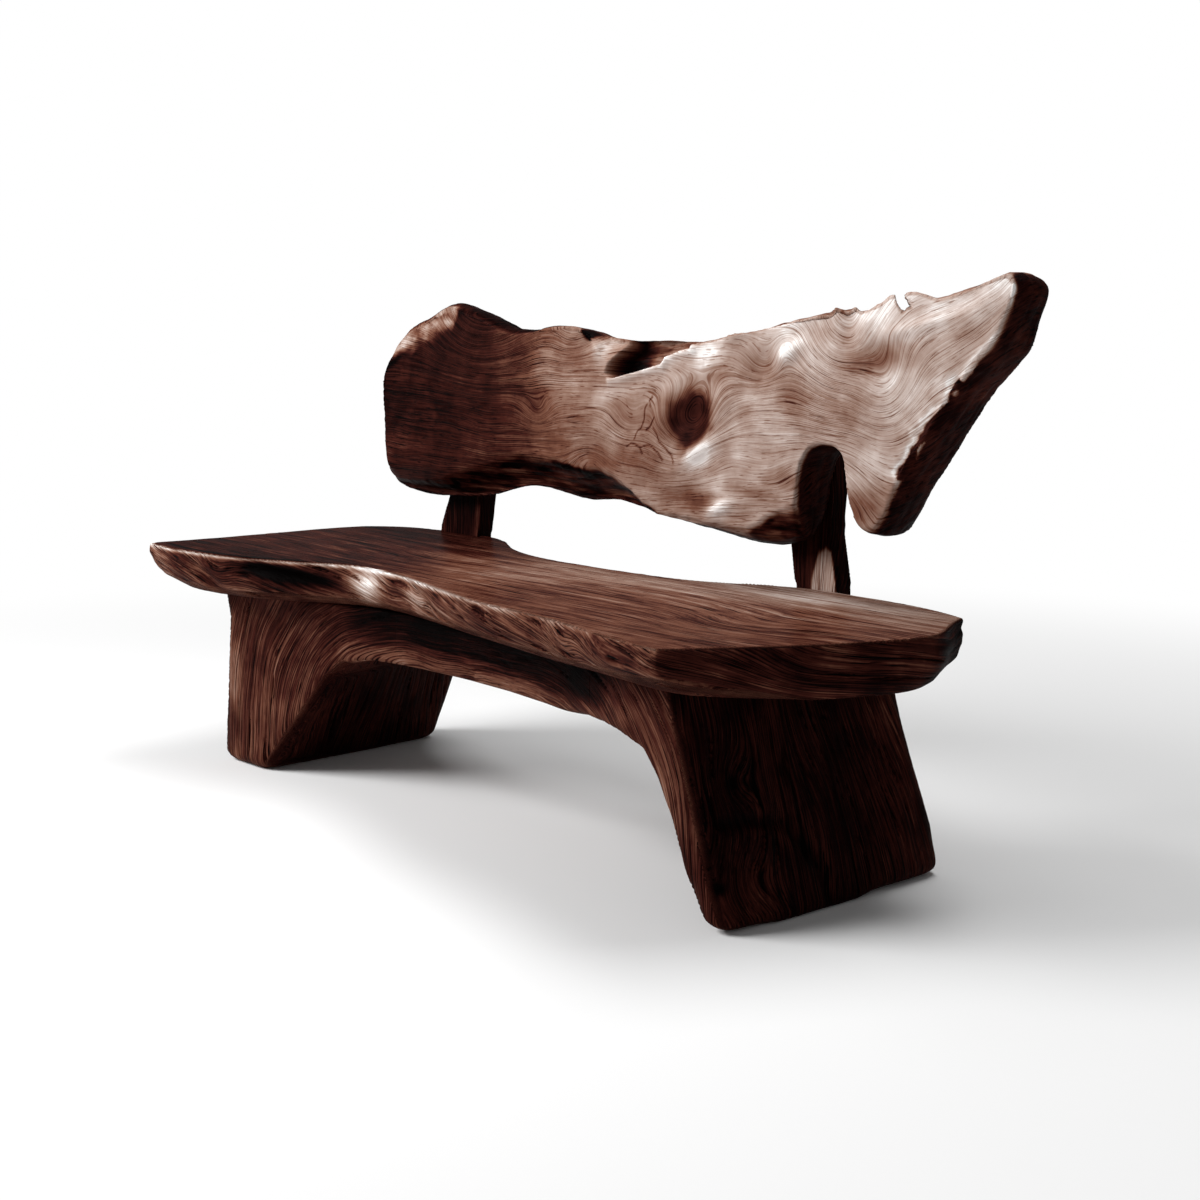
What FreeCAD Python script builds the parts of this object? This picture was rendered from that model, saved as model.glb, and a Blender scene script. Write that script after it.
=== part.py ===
import FreeCAD, Part

import math
import os

import Sketcher
from FreeCAD import Placement, Rotation, Vector

# A live edge bench: a thick natural slab for the seat, a second slab for the
# backrest, two carved legs joined by a bridge beam, and two posts behind the seat.
# Millimetres, +X to the right as seen from the front, +Y to the back, +Z up. The
# origin is on the floor, in the middle of the bench.

SIZES = (
    # The seat slab.
    ("seat_height", 422),
    ("seat_length", 1705),
    ("seat_depth", 597),
    ("seat_thickness", 80),
    # The backrest slab, set out from the two ends of the seat and from its top face.
    ("rest_left_gap", 70),
    ("rest_right_gap", 5),
    ("rest_height", 436),
    ("rest_thickness", 85),
    ("rest_rise", 69),
    ("rest_lean_angle", 6),
    # The base: both legs and the bridge beam between them.
    ("base_front_setback", 120),
    ("beam_thickness", 94),
    ("front_scoop_depth", 87),
    ("front_scoop_left", 251),
    ("front_scoop_right", 374),
    ("back_scoop_depth", 124),
    ("back_scoop_left", 331),
    ("haunch_ease", 60),
    ("base_edge_radius", 28),
    ("top_edge_radius", 4),
    ("foot_edge_radius", 10),
    # The left leg, measured in from the left end of the seat.
    ("left_leg_top_outer", 147),
    ("left_leg_foot_outer", 107),
    ("left_leg_foot_outer_back", 112),
    ("left_leg_foot_inner", 263),
    ("left_leg_foot_inner_back", 219),
    ("left_leg_haunch", 481),
    ("left_leg_haunch_back", 314),
    ("left_leg_joint", 621),
    ("left_leg_rear_tuck", 26),
    # The right leg, measured in from the right end of the seat.
    ("right_leg_top_outer", 261),
    ("right_leg_foot_outer", 141),
    ("right_leg_foot_outer_back", 166),
    ("right_leg_foot_inner", 199),
    ("right_leg_foot_inner_back", 234),
    ("right_leg_haunch", 325),
    ("right_leg_haunch_back", 348),
    ("right_leg_joint", 474),
    ("right_leg_rear_splay", 38),
    # The loose tenons in the two joints between the legs and the beam.
    ("tenon_length", 140),
    ("tenon_width", 120),
    ("tenon_thickness", 30),
    ("tenon_clearance", 0.3),
    # The back posts. The rises are above the seat's top face.
    ("post_thickness", 36),
    ("post_housing", 19),
    ("post_housing_clearance", 0.3),
    ("post_foot_rise", 8),
    ("post_neck_rise", 88),
    ("post_top_rise", 338),
    ("post_edge_radius", 4),
    ("left_post_centre", 264.5),
    ("left_post_width", 130),
    ("left_post_neck_centre", 281),
    ("left_post_neck_width", 105),
    ("right_post_centre", 432),
    ("right_post_width", 92),
    ("right_post_neck_centre", 458),
    ("right_post_neck_width", 90),
    # The lag bolts with their washers and recesses.
    ("bolt_shank_diameter", 10),
    ("bolt_head_across_corners", 19),
    ("bolt_head_height", 6.5),
    ("bolt_hole_clearance", 0.15),
    ("bolt_tip_clearance", 2),
    ("washer_diameter", 24),
    ("washer_thickness", 2),
    ("recess_diameter", 28),
    ("recess_depth", 12),
    ("seat_bolt_length", 115),
    ("seat_bolt_inset", 100),
    ("seat_bolt_spread", 120),
    ("post_bolt_length", 85),
    ("rest_bolt_length", 72),
    ("rest_bolt_drop", 55),
    ("rest_bolt_spacing", 90),
    # How far a cutting shape runs past the surface that it opens.
    ("overrun", 20),
)

doc = FreeCAD.newDocument("LiveEdgeBench")
sheet = doc.addObject("Spreadsheet::Sheet", "Sizes")
for row, (alias, value) in enumerate(SIZES, start=1):
    sheet.set(f"A{row}", alias)
    sheet.set(f"B{row}", str(value))
    sheet.setAlias(f"B{row}", alias)
doc.recompute()


def number(expression):
    """The present value of an expression in the named sizes."""
    return float(sheet.evalExpression(expression))


# Places that several pieces share, as expressions in the named sizes.
LEAN = "tan(Sizes.rest_lean_angle)"
LEG_TOP = "(Sizes.seat_height - Sizes.seat_thickness)"
BEAM_UNDERSIDE = f"({LEG_TOP} - Sizes.beam_thickness)"
BASE_MIDDLE_HEIGHT = f"({LEG_TOP} - Sizes.beam_thickness / 2)"
POST_SETBACK = "(Sizes.seat_depth - Sizes.post_housing)"
POST_LEAN_REACH = f"(Sizes.post_top_rise * {LEAN})"
OVERALL_DEPTH = f"({POST_SETBACK} + Sizes.post_thickness + {POST_LEAN_REACH})"
LEFT_END = "(-Sizes.seat_length / 2)"
RIGHT_END = "(Sizes.seat_length / 2)"
SEAT_FRONT = f"(-{OVERALL_DEPTH} / 2)"
BASE_FRONT = f"({SEAT_FRONT} + Sizes.base_front_setback)"
POST_FRONT = f"({SEAT_FRONT} + {POST_SETBACK})"
POST_BACK = f"({POST_FRONT} + Sizes.post_thickness)"
BASE_MIDDLE = f"(({BASE_FRONT} + {POST_FRONT}) / 2)"


def from_left(name):
    return f"({LEFT_END} + Sizes.{name})"


def from_right(name):
    return f"({RIGHT_END} - Sizes.{name})"


# Drawing helpers.


def origin_plane(body, role):
    return next(f for f in body.Origin.OriginFeatures if f.Role == role)


def new_sketch(body, name, role, height="0"):
    """A sketch on one of the body's own planes, lifted by an expression."""
    sketch = body.newObject("Sketcher::SketchObject", name)
    sketch.AttachmentSupport = [(origin_plane(body, role), "")]
    sketch.MapMode = "FlatFace"
    sketch.setExpression("AttachmentOffset.Base.z", height)
    return sketch


def pin(sketch, geometry, vertex, point):
    """Holds one vertex at a point given by two expressions."""
    for kind, expression in zip(("DistanceX", "DistanceY"), point):
        value = number(expression)
        rule = Sketcher.Constraint(kind, -1, 1, geometry, vertex, value)
        index = sketch.addConstraint(rule)
        sketch.setExpression(f"Constraints[{index}]", expression)


def draw_polygon(sketch, points):
    """A closed outline of straight lines through points given by expressions."""
    places = [Vector(number(a), number(b), 0) for a, b in points]
    count = len(places)
    for i in range(count):
        line = Part.LineSegment(places[i], places[(i + 1) % count])
        sketch.addGeometry(line)
    for i in range(count):
        meet = Sketcher.Constraint("Coincident", i, 2, (i + 1) % count, 1)
        sketch.addConstraint(meet)
        pin(sketch, i, 1, points[i])


def draw_circle(sketch, diameter):
    circle = sketch.addGeometry(Part.Circle(Vector(), Vector(0, 0, 1), number(diameter) / 2))
    sketch.addConstraint(Sketcher.Constraint("Coincident", circle, 3, -1, 1))
    rule = Sketcher.Constraint("Diameter", circle, number(diameter))
    index = sketch.addConstraint(rule)
    sketch.setExpression(f"Constraints[{index}]", diameter)


def pad(body, name, sketch, length, backwards=False):
    feature = body.newObject("PartDesign::Pad", name)
    feature.Profile = sketch
    feature.Reversed = backwards
    feature.setExpression("Length", length)
    doc.recompute()
    return feature


# Solids carved freehand are built from rings of points, one ring after another.


def ring_of_curves(points, counts, spacing):
    """One edge for each run, through the run's points and the next run's first."""
    edges, start = [], 0
    for count in counts:
        stretch = [points[(start + i) % len(points)] for i in range(count + 1)]
        knots = [0.0]
        for i in range(count):
            knots.append(knots[-1] + spacing[(start + i) % len(points)])
        curve = Part.BSplineCurve()
        curve.interpolate(Points=stretch, Parameters=knots)
        edges.append(curve.toShape())
        start += count
    return edges


def solid_through(layers, counts):
    """A solid between rings of points, one ring for each depth, in matching order."""
    middle = layers[len(layers) // 2]
    spacing = [(middle[(i + 1) % len(middle)] - p).Length for i, p in enumerate(middle)]
    rings = [ring_of_curves(points, counts, spacing) for points in layers]
    faces = [Part.Face(Part.Wire(rings[0])), Part.Face(Part.Wire(rings[-1]))]
    for upper, lower in zip(rings, rings[1:]):
        faces += [Part.makeRuledSurface(a, b) for a, b in zip(upper, lower)]
    shell = Part.Shell(faces)
    shell.sewShape()
    solid = Part.Solid(shell)
    if solid.Volume < 0:
        solid.reverse()
    return solid


def rounded_ring(corners, radii):
    """Three points at each of four corners, which round it by its own radius."""
    points = []
    for i, (corner, radius) in enumerate(zip(corners, radii)):
        before = (corners[i - 1] - corner).normalize()
        after = (corners[(i + 1) % len(corners)] - corner).normalize()
        middle = corner + (before + after) * radius * (1 - math.sqrt(0.5))
        points += [corner + before * radius, middle, corner + after * radius]
    return points


ROUNDED_RING_COUNTS = (2, 1, 2, 1, 2, 1, 2, 1)


def between(a, b, share):
    return a + (b - a) * share


# The base: two legs and the beam between them. In plan all three are bounded by the
# same two faces, hollowed by shallow arcs at the front and at the back.


def hollow(x, start, end, deep):
    """How far an arc from start to end has curved in at x."""
    if not start < x < end:
        return 0.0
    half = (end - start) / 2
    radius = (half ** 2 + deep ** 2) / (2 * deep)
    off = x - (start + end) / 2
    return deep - radius + math.sqrt(radius ** 2 - off ** 2)


def front_face(x):
    start = number(from_left("front_scoop_left"))
    end = number(from_right("front_scoop_right"))
    return number(BASE_FRONT) + hollow(x, start, end, number("Sizes.front_scoop_depth"))


def back_face(x, z, foot_shift):
    """The back face. Below the beam it slopes, to foot_shift further back at the floor."""
    start = number(from_left("back_scoop_left"))
    end = number(from_right("right_leg_joint"))
    slope_top = number(BEAM_UNDERSIDE)
    slope = foot_shift * max(0.0, 1 - z / slope_top)
    return number(POST_FRONT) - hollow(x, start, end, number("Sizes.back_scoop_depth")) + slope


def base_corners(outer_front, inner_front, inner_back, outer_back, foot_shift):
    """Four places given as (x, z), put on the two faces."""
    corners = []
    for p in (outer_front, inner_front):
        corners.append(Vector(p.x, front_face(p.x), p.z))
    for p in (inner_back, outer_back):
        corners.append(Vector(p.x, back_face(p.x, p.z, foot_shift), p.z))
    return corners


def drawn_in(corners, inset):
    """The same four corners, each moved in along both of its sides."""
    moved = []
    for i, corner in enumerate(corners):
        before = (corners[i - 1] - corner).normalize()
        after = (corners[(i + 1) % len(corners)] - corner).normalize()
        moved.append(corner + (before + after) * inset)
    return moved


def face_point(x, z):
    return Vector(number(x), 0, number(z))


# Where a leg has its rings, as shares of the way up its side.
OUTER_SIDE_SHARES = (0, 0.25, 0.55, 0.85, 1)
INNER_SIDE_SHARES = (0, 0.25, 0.55)
# Where the ring between the top corner and the joint stands, and how far the haunch
# is rounded off.
LEG_TOP_SHARE = 0.4
HAUNCH_ROUND_SHARE = 0.25
# The rounding of the foot: the shares of its radius drawn in, then the shares lifted.
FOOT_ROUND_SHARES = ((1, 0), (0.3, 0.3), (0, 1))


def outer_path(foot, top, end):
    """Up the outer side of a leg to its top corner, then along the top to the joint."""
    side = [between(foot, top, share) for share in OUTER_SIDE_SHARES]
    return side + [between(top, end, LEG_TOP_SHARE), end]


def inner_path(foot, haunch, end):
    """Up the inner side, round the haunch, then along the underside to the joint."""
    ease = number("Sizes.haunch_ease")
    up = (haunch - foot).normalize() * ease
    along = (end - haunch).normalize() * ease
    side = [between(foot, haunch, share) for share in INNER_SIDE_SHARES]
    corner = haunch + (along - up) * HAUNCH_ROUND_SHARE
    return side + [haunch - up, corner, haunch + along, end]


def make_leg(side, setting, foot_shift):
    def at(name, height):
        return face_point(setting(f"{side}_leg_{name}"), height)

    joint_top, joint_low = at("joint", LEG_TOP), at("joint", BEAM_UNDERSIDE)
    paths = (
        outer_path(at("foot_outer", "0"), at("top_outer", LEG_TOP), joint_top),
        inner_path(at("foot_inner", "0"), at("haunch", BEAM_UNDERSIDE), joint_low),
        inner_path(at("foot_inner_back", "0"), at("haunch_back", BEAM_UNDERSIDE), joint_low),
        outer_path(at("foot_outer_back", "0"), at("top_outer", LEG_TOP), joint_top),
    )
    nose = number("Sizes.base_edge_radius")
    eased = number("Sizes.top_edge_radius")
    shift = number(foot_shift)
    levels = [base_corners(*stations, shift) for stations in zip(*paths)]
    rings = []
    for i, corners in enumerate(levels):
        outer = nose if i < len(OUTER_SIDE_SHARES) - 1 else eased
        rings.append(rounded_ring(corners, (outer, nose, nose, outer)))
    # The foot is drawn in all round just above the floor.
    drawn = number("Sizes.foot_edge_radius")
    foot = []
    for inset_share, lift_share in FOOT_ROUND_SHARES:
        inset, lift = drawn * inset_share, drawn * lift_share
        corners = []
        for low, high in zip(levels[0], levels[1]):
            corners.append(between(low, high, lift / (high.z - low.z)))
        radius = nose - inset
        foot.append(rounded_ring(drawn_in(corners, inset), [radius] * len(corners)))
    leg = doc.addObject("Part::Feature", f"{side}_leg_blank")
    leg.Shape = solid_through(foot + rings[1:], ROUNDED_RING_COUNTS)
    return leg


# Where the beam has its rings, as shares of the way from the left joint to the right.
BEAM_STATION_SHARES = (0.0, 0.15, 0.3, 0.5, 0.7, 0.85, 1.0)


def make_beam():
    left, right = number(from_left("left_leg_joint")), number(from_right("right_leg_joint"))
    eased, nose = number("Sizes.top_edge_radius"), number("Sizes.base_edge_radius")
    rings = []
    for share in BEAM_STATION_SHARES:
        x = left + (right - left) * share
        top = Vector(x, 0, number(LEG_TOP))
        low = Vector(x, 0, number(BEAM_UNDERSIDE))
        corners = base_corners(top, low, low, top, 0)
        rings.append(rounded_ring(corners, (eased, nose, nose, eased)))
    beam = doc.addObject("Part::Feature", "beam_blank")
    beam.Shape = solid_through(rings, ROUNDED_RING_COUNTS)
    return beam


# The posts: four level sections. They stand upright behind the seat up to its top
# face, and lean back with the backrest above it.


def make_post(side, setting):
    lean = math.tan(math.radians(number("Sizes.rest_lean_angle")))
    bend = number("Sizes.seat_height")
    thickness = number("Sizes.post_thickness")
    radius = number("Sizes.post_edge_radius")
    wide = (number(setting(f"{side}_post_centre")), number(f"Sizes.{side}_post_width"))
    neck = (number(setting(f"{side}_post_neck_centre")), number(f"Sizes.{side}_post_neck_width"))
    heights = (
        (number(f"{BEAM_UNDERSIDE} + Sizes.post_foot_rise"), wide),
        (bend, wide),
        (number("Sizes.seat_height + Sizes.post_neck_rise"), neck),
        (number("Sizes.seat_height + Sizes.post_top_rise"), neck),
    )
    rings = []
    for height, (centre, width) in heights:
        front = number(POST_FRONT) + max(0.0, height - bend) * lean
        corners = [
            Vector(centre - width / 2, front, height),
            Vector(centre + width / 2, front, height),
            Vector(centre + width / 2, front + thickness, height),
            Vector(centre - width / 2, front + thickness, height),
        ]
        rings.append(rounded_ring(corners, [radius] * len(corners)))
    post = doc.addObject("Part::Feature", f"{side}_post_blank")
    post.Shape = solid_through(rings, ROUNDED_RING_COUNTS)
    return post


# The two natural slabs. An outline is a ring of runs: each run is one smooth curve,
# which ends at the corner where the next one starts. It goes anticlockwise, in shares.

# The seat's runs: the place on the top face, along and back, then on the underside.
SEAT_OUTLINE_SHARES = (
    # The front edge, from the left tip to the right corner.
    (
        (0.001, 0.060, 0.028, 0.140), (0.053, 0.038, 0.070, 0.105),
        (0.125, 0.050, 0.130, 0.110), (0.190, 0.090, 0.185, 0.150),
        (0.253, 0.161, 0.240, 0.225), (0.314, 0.250, 0.300, 0.310),
        (0.360, 0.268, 0.355, 0.335), (0.412, 0.253, 0.412, 0.325),
        (0.524, 0.180, 0.520, 0.275), (0.616, 0.127, 0.612, 0.235),
        (0.700, 0.110, 0.697, 0.200), (0.760, 0.085, 0.757, 0.185),
        (0.820, 0.045, 0.815, 0.165), (0.870, 0.015, 0.862, 0.155),
    ),
    # The right end, out to its back corner.
    (
        (0.911, 0.000, 0.895, 0.185), (0.928, 0.100, 0.920, 0.240),
        (0.953, 0.240, 0.947, 0.320), (0.978, 0.400, 0.972, 0.430),
        (0.994, 0.530, 0.985, 0.550), (0.997, 0.640, 0.982, 0.645),
        (0.979, 0.750, 0.964, 0.742),
    ),
    # The back edge over the right leg and along the hollow.
    (
        (0.952, 0.890, 0.936, 0.852), (0.917, 0.925, 0.906, 0.888),
        (0.859, 0.955, 0.857, 0.925), (0.795, 0.962, 0.795, 0.935),
        (0.735, 0.955, 0.740, 0.925), (0.677, 0.880, 0.685, 0.850),
        (0.638, 0.830, 0.642, 0.800), (0.560, 0.797, 0.560, 0.765),
        (0.450, 0.788, 0.450, 0.755), (0.371, 0.812, 0.367, 0.780),
        (0.300, 0.885, 0.295, 0.850), (0.235, 0.980, 0.232, 0.945),
    ),
    # The back edge behind the left leg and the left end.
    (
        (0.195, 1.000, 0.195, 0.970), (0.111, 0.985, 0.113, 0.955),
        (0.050, 0.945, 0.056, 0.915), (0.013, 0.840, 0.023, 0.820),
        (0.005, 0.540, 0.016, 0.540), (0.011, 0.270, 0.024, 0.300),
    ),
)

# How the seat's edge runs down from the top face (0) to the underside (1): the depth,
# then how far it has come from the one outline to the other.
SEAT_EDGE_SHARES = ((0.00, 0.00), (0.25, -0.05), (0.50, 0.08), (0.78, 0.42), (1.00, 1.00))

# The backrest's runs: along, up the slope, then how far the front face and the back
# face are drawn in from that line, in shares of the thickness.
REST_OUTLINE_SHARES = (
    # The left end.
    (
        (0.008, 0.656, 0.20, 0.30), (0.000, 0.540, 0.10, 0.20), (0.011, 0.303, 0.10, 0.20),
        (0.017, 0.117, 0.22, 0.30),
    ),
    # The lower edge, with its long bevel under the left half.
    (
        (0.048, 0.038, 0.45, 0.30), (0.099, 0.020, 0.60, 0.20), (0.161, 0.028, 0.60, 0.20),
        (0.226, 0.056, 0.80, 0.20), (0.291, 0.109, 0.70, 0.20), (0.349, 0.095, 0.60, 0.20),
        (0.414, 0.083, 0.60, 0.20), (0.476, 0.090, 0.50, 0.20), (0.528, 0.048, 0.10, 0.20),
        (0.575, 0.038, 0.05, 0.20), (0.618, 0.022, 0.10, 0.30), (0.669, 0.000, 0.15, 0.50),
        (0.717, 0.000, 0.10, 0.60),
    ),
    # The notch in front of the right post.
    (
        (0.746, 0.033, 0.08, 0.40), (0.751, 0.159, 0.05, 0.10), (0.752, 0.278, 0.05, 0.05),
        (0.762, 0.348, 0.05, 0.05), (0.783, 0.369, 0.05, 0.05), (0.803, 0.345, 0.05, 0.05),
        (0.812, 0.278, 0.05, 0.05), (0.819, 0.186, 0.05, 0.05), (0.833, 0.100, 0.05, 0.10),
    ),
    # The right end, slanting out to the top.
    (
        (0.856, 0.079, 0.10, 0.10), (0.869, 0.146, 0.10, 0.10), (0.885, 0.275, 0.10, 0.05),
        (0.911, 0.415, 0.10, 0.05), (0.927, 0.509, 0.10, 0.05), (0.948, 0.618, 0.10, 0.05),
        (0.976, 0.736, 0.10, 0.05), (0.989, 0.835, 0.10, 0.10), (0.996, 0.925, 0.10, 0.12),
    ),
    # The top edge from the right tip down to the hollow.
    (
        (0.983, 0.977, 0.10, 0.12), (0.955, 0.948, 0.10, 0.20), (0.927, 0.921, 0.15, 0.20),
        (0.883, 0.895, 0.20, 0.20), (0.840, 0.882, 0.15, 0.20), (0.799, 0.859, 0.10, 0.30),
        (0.734, 0.831, 0.10, 0.30), (0.680, 0.793, 0.10, 0.30), (0.622, 0.758, 0.10, 0.20),
        (0.569, 0.732, 0.20, 0.10), (0.519, 0.736, 0.50, 0.05), (0.476, 0.731, 0.60, 0.05),
    ),
    # The two crests of the left lobe.
    (
        (0.437, 0.736, 0.40, 0.05), (0.408, 0.755, 0.05, 0.15), (0.359, 0.781, 0.05, 0.25),
        (0.309, 0.774, 0.10, 0.20), (0.266, 0.768, 0.15, 0.10), (0.219, 0.804, 0.10, 0.25),
        (0.166, 0.851, 0.10, 0.30), (0.130, 0.868, 0.10, 0.30), (0.073, 0.808, 0.15, 0.30),
        (0.027, 0.747, 0.20, 0.30),
    ),
)

# How the backrest's edge runs from its front face (0) to its back face (1): the depth,
# then the share of the front inset and of the back inset that holds there.
REST_EDGE_SHARES = (
    (0.00, 1.00, 0.00), (0.15, 0.40, 0.00), (0.35, 0.00, 0.00),
    (0.65, 0.00, 0.05), (0.85, 0.00, 0.40), (1.00, 0.00, 1.00),
)


def make_seat():
    length = number("Sizes.seat_length")
    depth = number("Sizes.seat_depth")
    thickness = number("Sizes.seat_thickness")
    rows = [row for run in SEAT_OUTLINE_SHARES for row in run]
    counts = [len(run) for run in SEAT_OUTLINE_SHARES]
    layers = []
    for down, mix in SEAT_EDGE_SHARES:
        layer = []
        for top_x, top_y, low_x, low_y in rows:
            x = length * (top_x + mix * (low_x - top_x))
            y = depth * (top_y + mix * (low_y - top_y))
            layer.append(Vector(x, y, -thickness * down))
        layers.append(layer)
    slab = doc.addObject("Part::Feature", "seat_blank")
    slab.Shape = solid_through(layers, counts)
    corner = Vector(number(LEFT_END), number(SEAT_FRONT), number("Sizes.seat_height"))
    slab.Placement = Placement(corner, Rotation())
    return slab


def make_rest():
    width = number("Sizes.seat_length - Sizes.rest_left_gap - Sizes.rest_right_gap")
    height = number("Sizes.rest_height")
    thickness = number("Sizes.rest_thickness")
    rows = [row for run in REST_OUTLINE_SHARES for row in run]
    counts = [len(run) for run in REST_OUTLINE_SHARES]
    outline = [Vector(width * x, height * y, 0) for x, y, _, _ in rows]
    inward = []
    for i in range(len(outline)):
        run = (outline[(i + 1) % len(outline)] - outline[i - 1]).normalize()
        inward.append(Vector(-run.y, run.x, 0))
    layers = []
    for deep, at_front, at_back in REST_EDGE_SHARES:
        lift = Vector(0, 0, thickness * (1 - deep))
        layer = []
        for place, square, (_, _, front, back) in zip(outline, inward, rows):
            inset = thickness * (at_front * front + at_back * back)
            layer.append(place + square * inset + lift)
        layers.append(layer)
    slab = doc.addObject("Part::Feature", "rest_blank")
    slab.Shape = solid_through(layers, counts)
    # The slab's own Z is its thickness, from the back face to the front one.
    back_low = number(f"{POST_FRONT} + Sizes.rest_rise * {LEAN}")
    bottom = number("Sizes.seat_height + Sizes.rest_rise")
    corner = Vector(number(from_left("rest_left_gap")), back_low, bottom)
    upright = Rotation(Vector(1, 0, 0), 90 - number("Sizes.rest_lean_angle"))
    slab.Placement = Placement(corner, upright)
    return slab


# Fasteners. Each lag bolt, its washer and the hole that it sits in share one place:
# Z runs along the shank, and zero is the floor of the recess under the washer.


def set_place(thing, place):
    x, y, z, turn = place
    thing.Placement = Placement(Vector(), Rotation(Vector(1, 0, 0), 90))
    thing.setExpression("Placement.Base.x", x)
    thing.setExpression("Placement.Base.y", y)
    thing.setExpression("Placement.Base.z", z)
    thing.setExpression("Placement.Rotation.Angle", turn)


def draw_hexagon(sketch, across_corners):
    points = []
    for i in range(6):
        turn = 60 * i
        along = f"({across_corners} / 2 * cos({turn}))"
        up = f"({across_corners} / 2 * sin({turn}))"
        points.append((along, up))
    draw_polygon(sketch, points)


def make_bolt(name, place, length):
    body = doc.addObject("PartDesign::Body", name)
    body.Label = name
    under_head = "-Sizes.washer_thickness"
    head = new_sketch(body, "head", "XY_Plane", under_head)
    draw_hexagon(head, "Sizes.bolt_head_across_corners")
    pad(body, "hex_head", head, "Sizes.bolt_head_height", backwards=True)
    shank = new_sketch(body, "shank", "XY_Plane", under_head)
    draw_circle(shank, "Sizes.bolt_shank_diameter")
    pad(body, "plain_shank", shank, length)
    set_place(body, place)
    return body


def make_washer(name, place):
    body = doc.addObject("PartDesign::Body", name)
    body.Label = name
    ring = new_sketch(body, "ring", "XY_Plane", "-Sizes.washer_thickness")
    draw_circle(ring, "Sizes.washer_diameter")
    draw_circle(ring, "(Sizes.bolt_shank_diameter + 2 * Sizes.bolt_hole_clearance)")
    pad(body, "disc", ring, "Sizes.washer_thickness")
    set_place(body, place)
    return body


def make_hole(name, place, length):
    body = doc.addObject("PartDesign::Body", name)
    bore = new_sketch(body, "bore", "XY_Plane")
    draw_circle(bore, "(Sizes.bolt_shank_diameter + 2 * Sizes.bolt_hole_clearance)")
    deep = f"({length} - Sizes.washer_thickness + Sizes.bolt_tip_clearance)"
    pad(body, "clear_bore", bore, deep)
    recess = new_sketch(body, "recess", "XY_Plane")
    draw_circle(recess, "Sizes.recess_diameter")
    pad(body, "washer_recess", recess, "(Sizes.recess_depth + Sizes.overrun)", backwards=True)
    set_place(body, place)
    return body


def fasten(name, place, length):
    """A bolt and its washer, kept as pieces, and the hole form that clears them."""
    bolt = make_bolt(f"{name}", place, length)
    washer = make_washer(f"{name}_washer", place)
    return (bolt, washer), make_hole(f"{name}_hole", place, length)


def cut_away(label, blank, tools):
    """The finished piece: its blank less all the tools, which have to remove wood."""
    joined = tools[0]
    if len(tools) > 1:
        joined = doc.addObject("Part::MultiFuse", f"{label}_tools")
        joined.Shapes = tools
    finished = doc.addObject("Part::Cut", label)
    finished.Label = label
    finished.Base = blank
    finished.Tool = joined
    doc.recompute()
    if not finished.Shape.Volume < blank.Shape.Volume:
        raise RuntimeError(f"nothing is cut from {label}")
    return finished


# The bolts up through the beam into the seat.
seat_kept, seat_holes = [], []
seat_bolt_places = []
beam_ends = ((from_left, "left_leg_joint", "+"), (from_right, "right_leg_joint", "-"))
for setting, joint, sign in beam_ends:
    for side in ("-", "+"):
        x = f"({setting(joint)} {sign} Sizes.seat_bolt_inset)"
        y = f"({BASE_MIDDLE} {side} Sizes.seat_bolt_spread / 2)"
        seat_bolt_places.append((x, y, f"({BEAM_UNDERSIDE} + Sizes.recess_depth)", "0"))
for i, place in enumerate(seat_bolt_places, start=1):
    kept, hole = fasten(f"seat_bolt_{i}", place, "Sizes.seat_bolt_length")
    seat_kept.extend(kept)
    seat_holes.append(hole)

# The bolts through the posts: two into the base, two into the backrest.
post_kept = []
base_holes = {"left": [], "right": []}
rest_holes = {"left": [], "right": []}
for side, setting in (("left", from_left), ("right", from_right)):
    for i, sign in enumerate(("-", "+"), start=1):
        x = f"({setting(side + '_post_centre')} {sign} Sizes.{side}_post_width / 4)"
        y = f"({POST_BACK} - Sizes.recess_depth)"
        place = (x, y, BASE_MIDDLE_HEIGHT, "90")
        kept, hole = fasten(f"{side}_post_bolt_{i}", place, "Sizes.post_bolt_length")
        post_kept.extend(kept)
        base_holes[side].append(hole)
    for i, below in enumerate((" - Sizes.rest_bolt_spacing", ""), start=1):
        rise = f"(Sizes.post_top_rise - Sizes.rest_bolt_drop{below})"
        x = setting(side + "_post_neck_centre")
        surface = f"({POST_BACK} + {rise} * {LEAN})"
        y = f"({surface} - Sizes.recess_depth * cos(Sizes.rest_lean_angle))"
        deep = "Sizes.recess_depth * sin(Sizes.rest_lean_angle)"
        z = f"(Sizes.seat_height + {rise} + {deep})"
        place = (x, y, z, "(90 - Sizes.rest_lean_angle)")
        kept, hole = fasten(f"{side}_rest_bolt_{i}", place, "Sizes.rest_bolt_length")
        post_kept.extend(kept)
        rest_holes[side].append(hole)


# The loose tenons and the mortises that clear them all round.


def make_tenon_box(name, joint, clearance):
    box = doc.addObject("Part::Box", name)
    spare = f"2 * {clearance}"
    box.setExpression("Length", f"Sizes.tenon_length + {spare}")
    box.setExpression("Width", f"Sizes.tenon_width + {spare}")
    box.setExpression("Height", f"Sizes.tenon_thickness + {spare}")
    box.setExpression("Placement.Base.x", f"{joint} - Sizes.tenon_length / 2 - {clearance}")
    box.setExpression("Placement.Base.y", f"{BASE_MIDDLE} - Sizes.tenon_width / 2 - {clearance}")
    low = f"{BASE_MIDDLE_HEIGHT} - Sizes.tenon_thickness / 2 - {clearance}"
    box.setExpression("Placement.Base.z", low)
    return box


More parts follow.
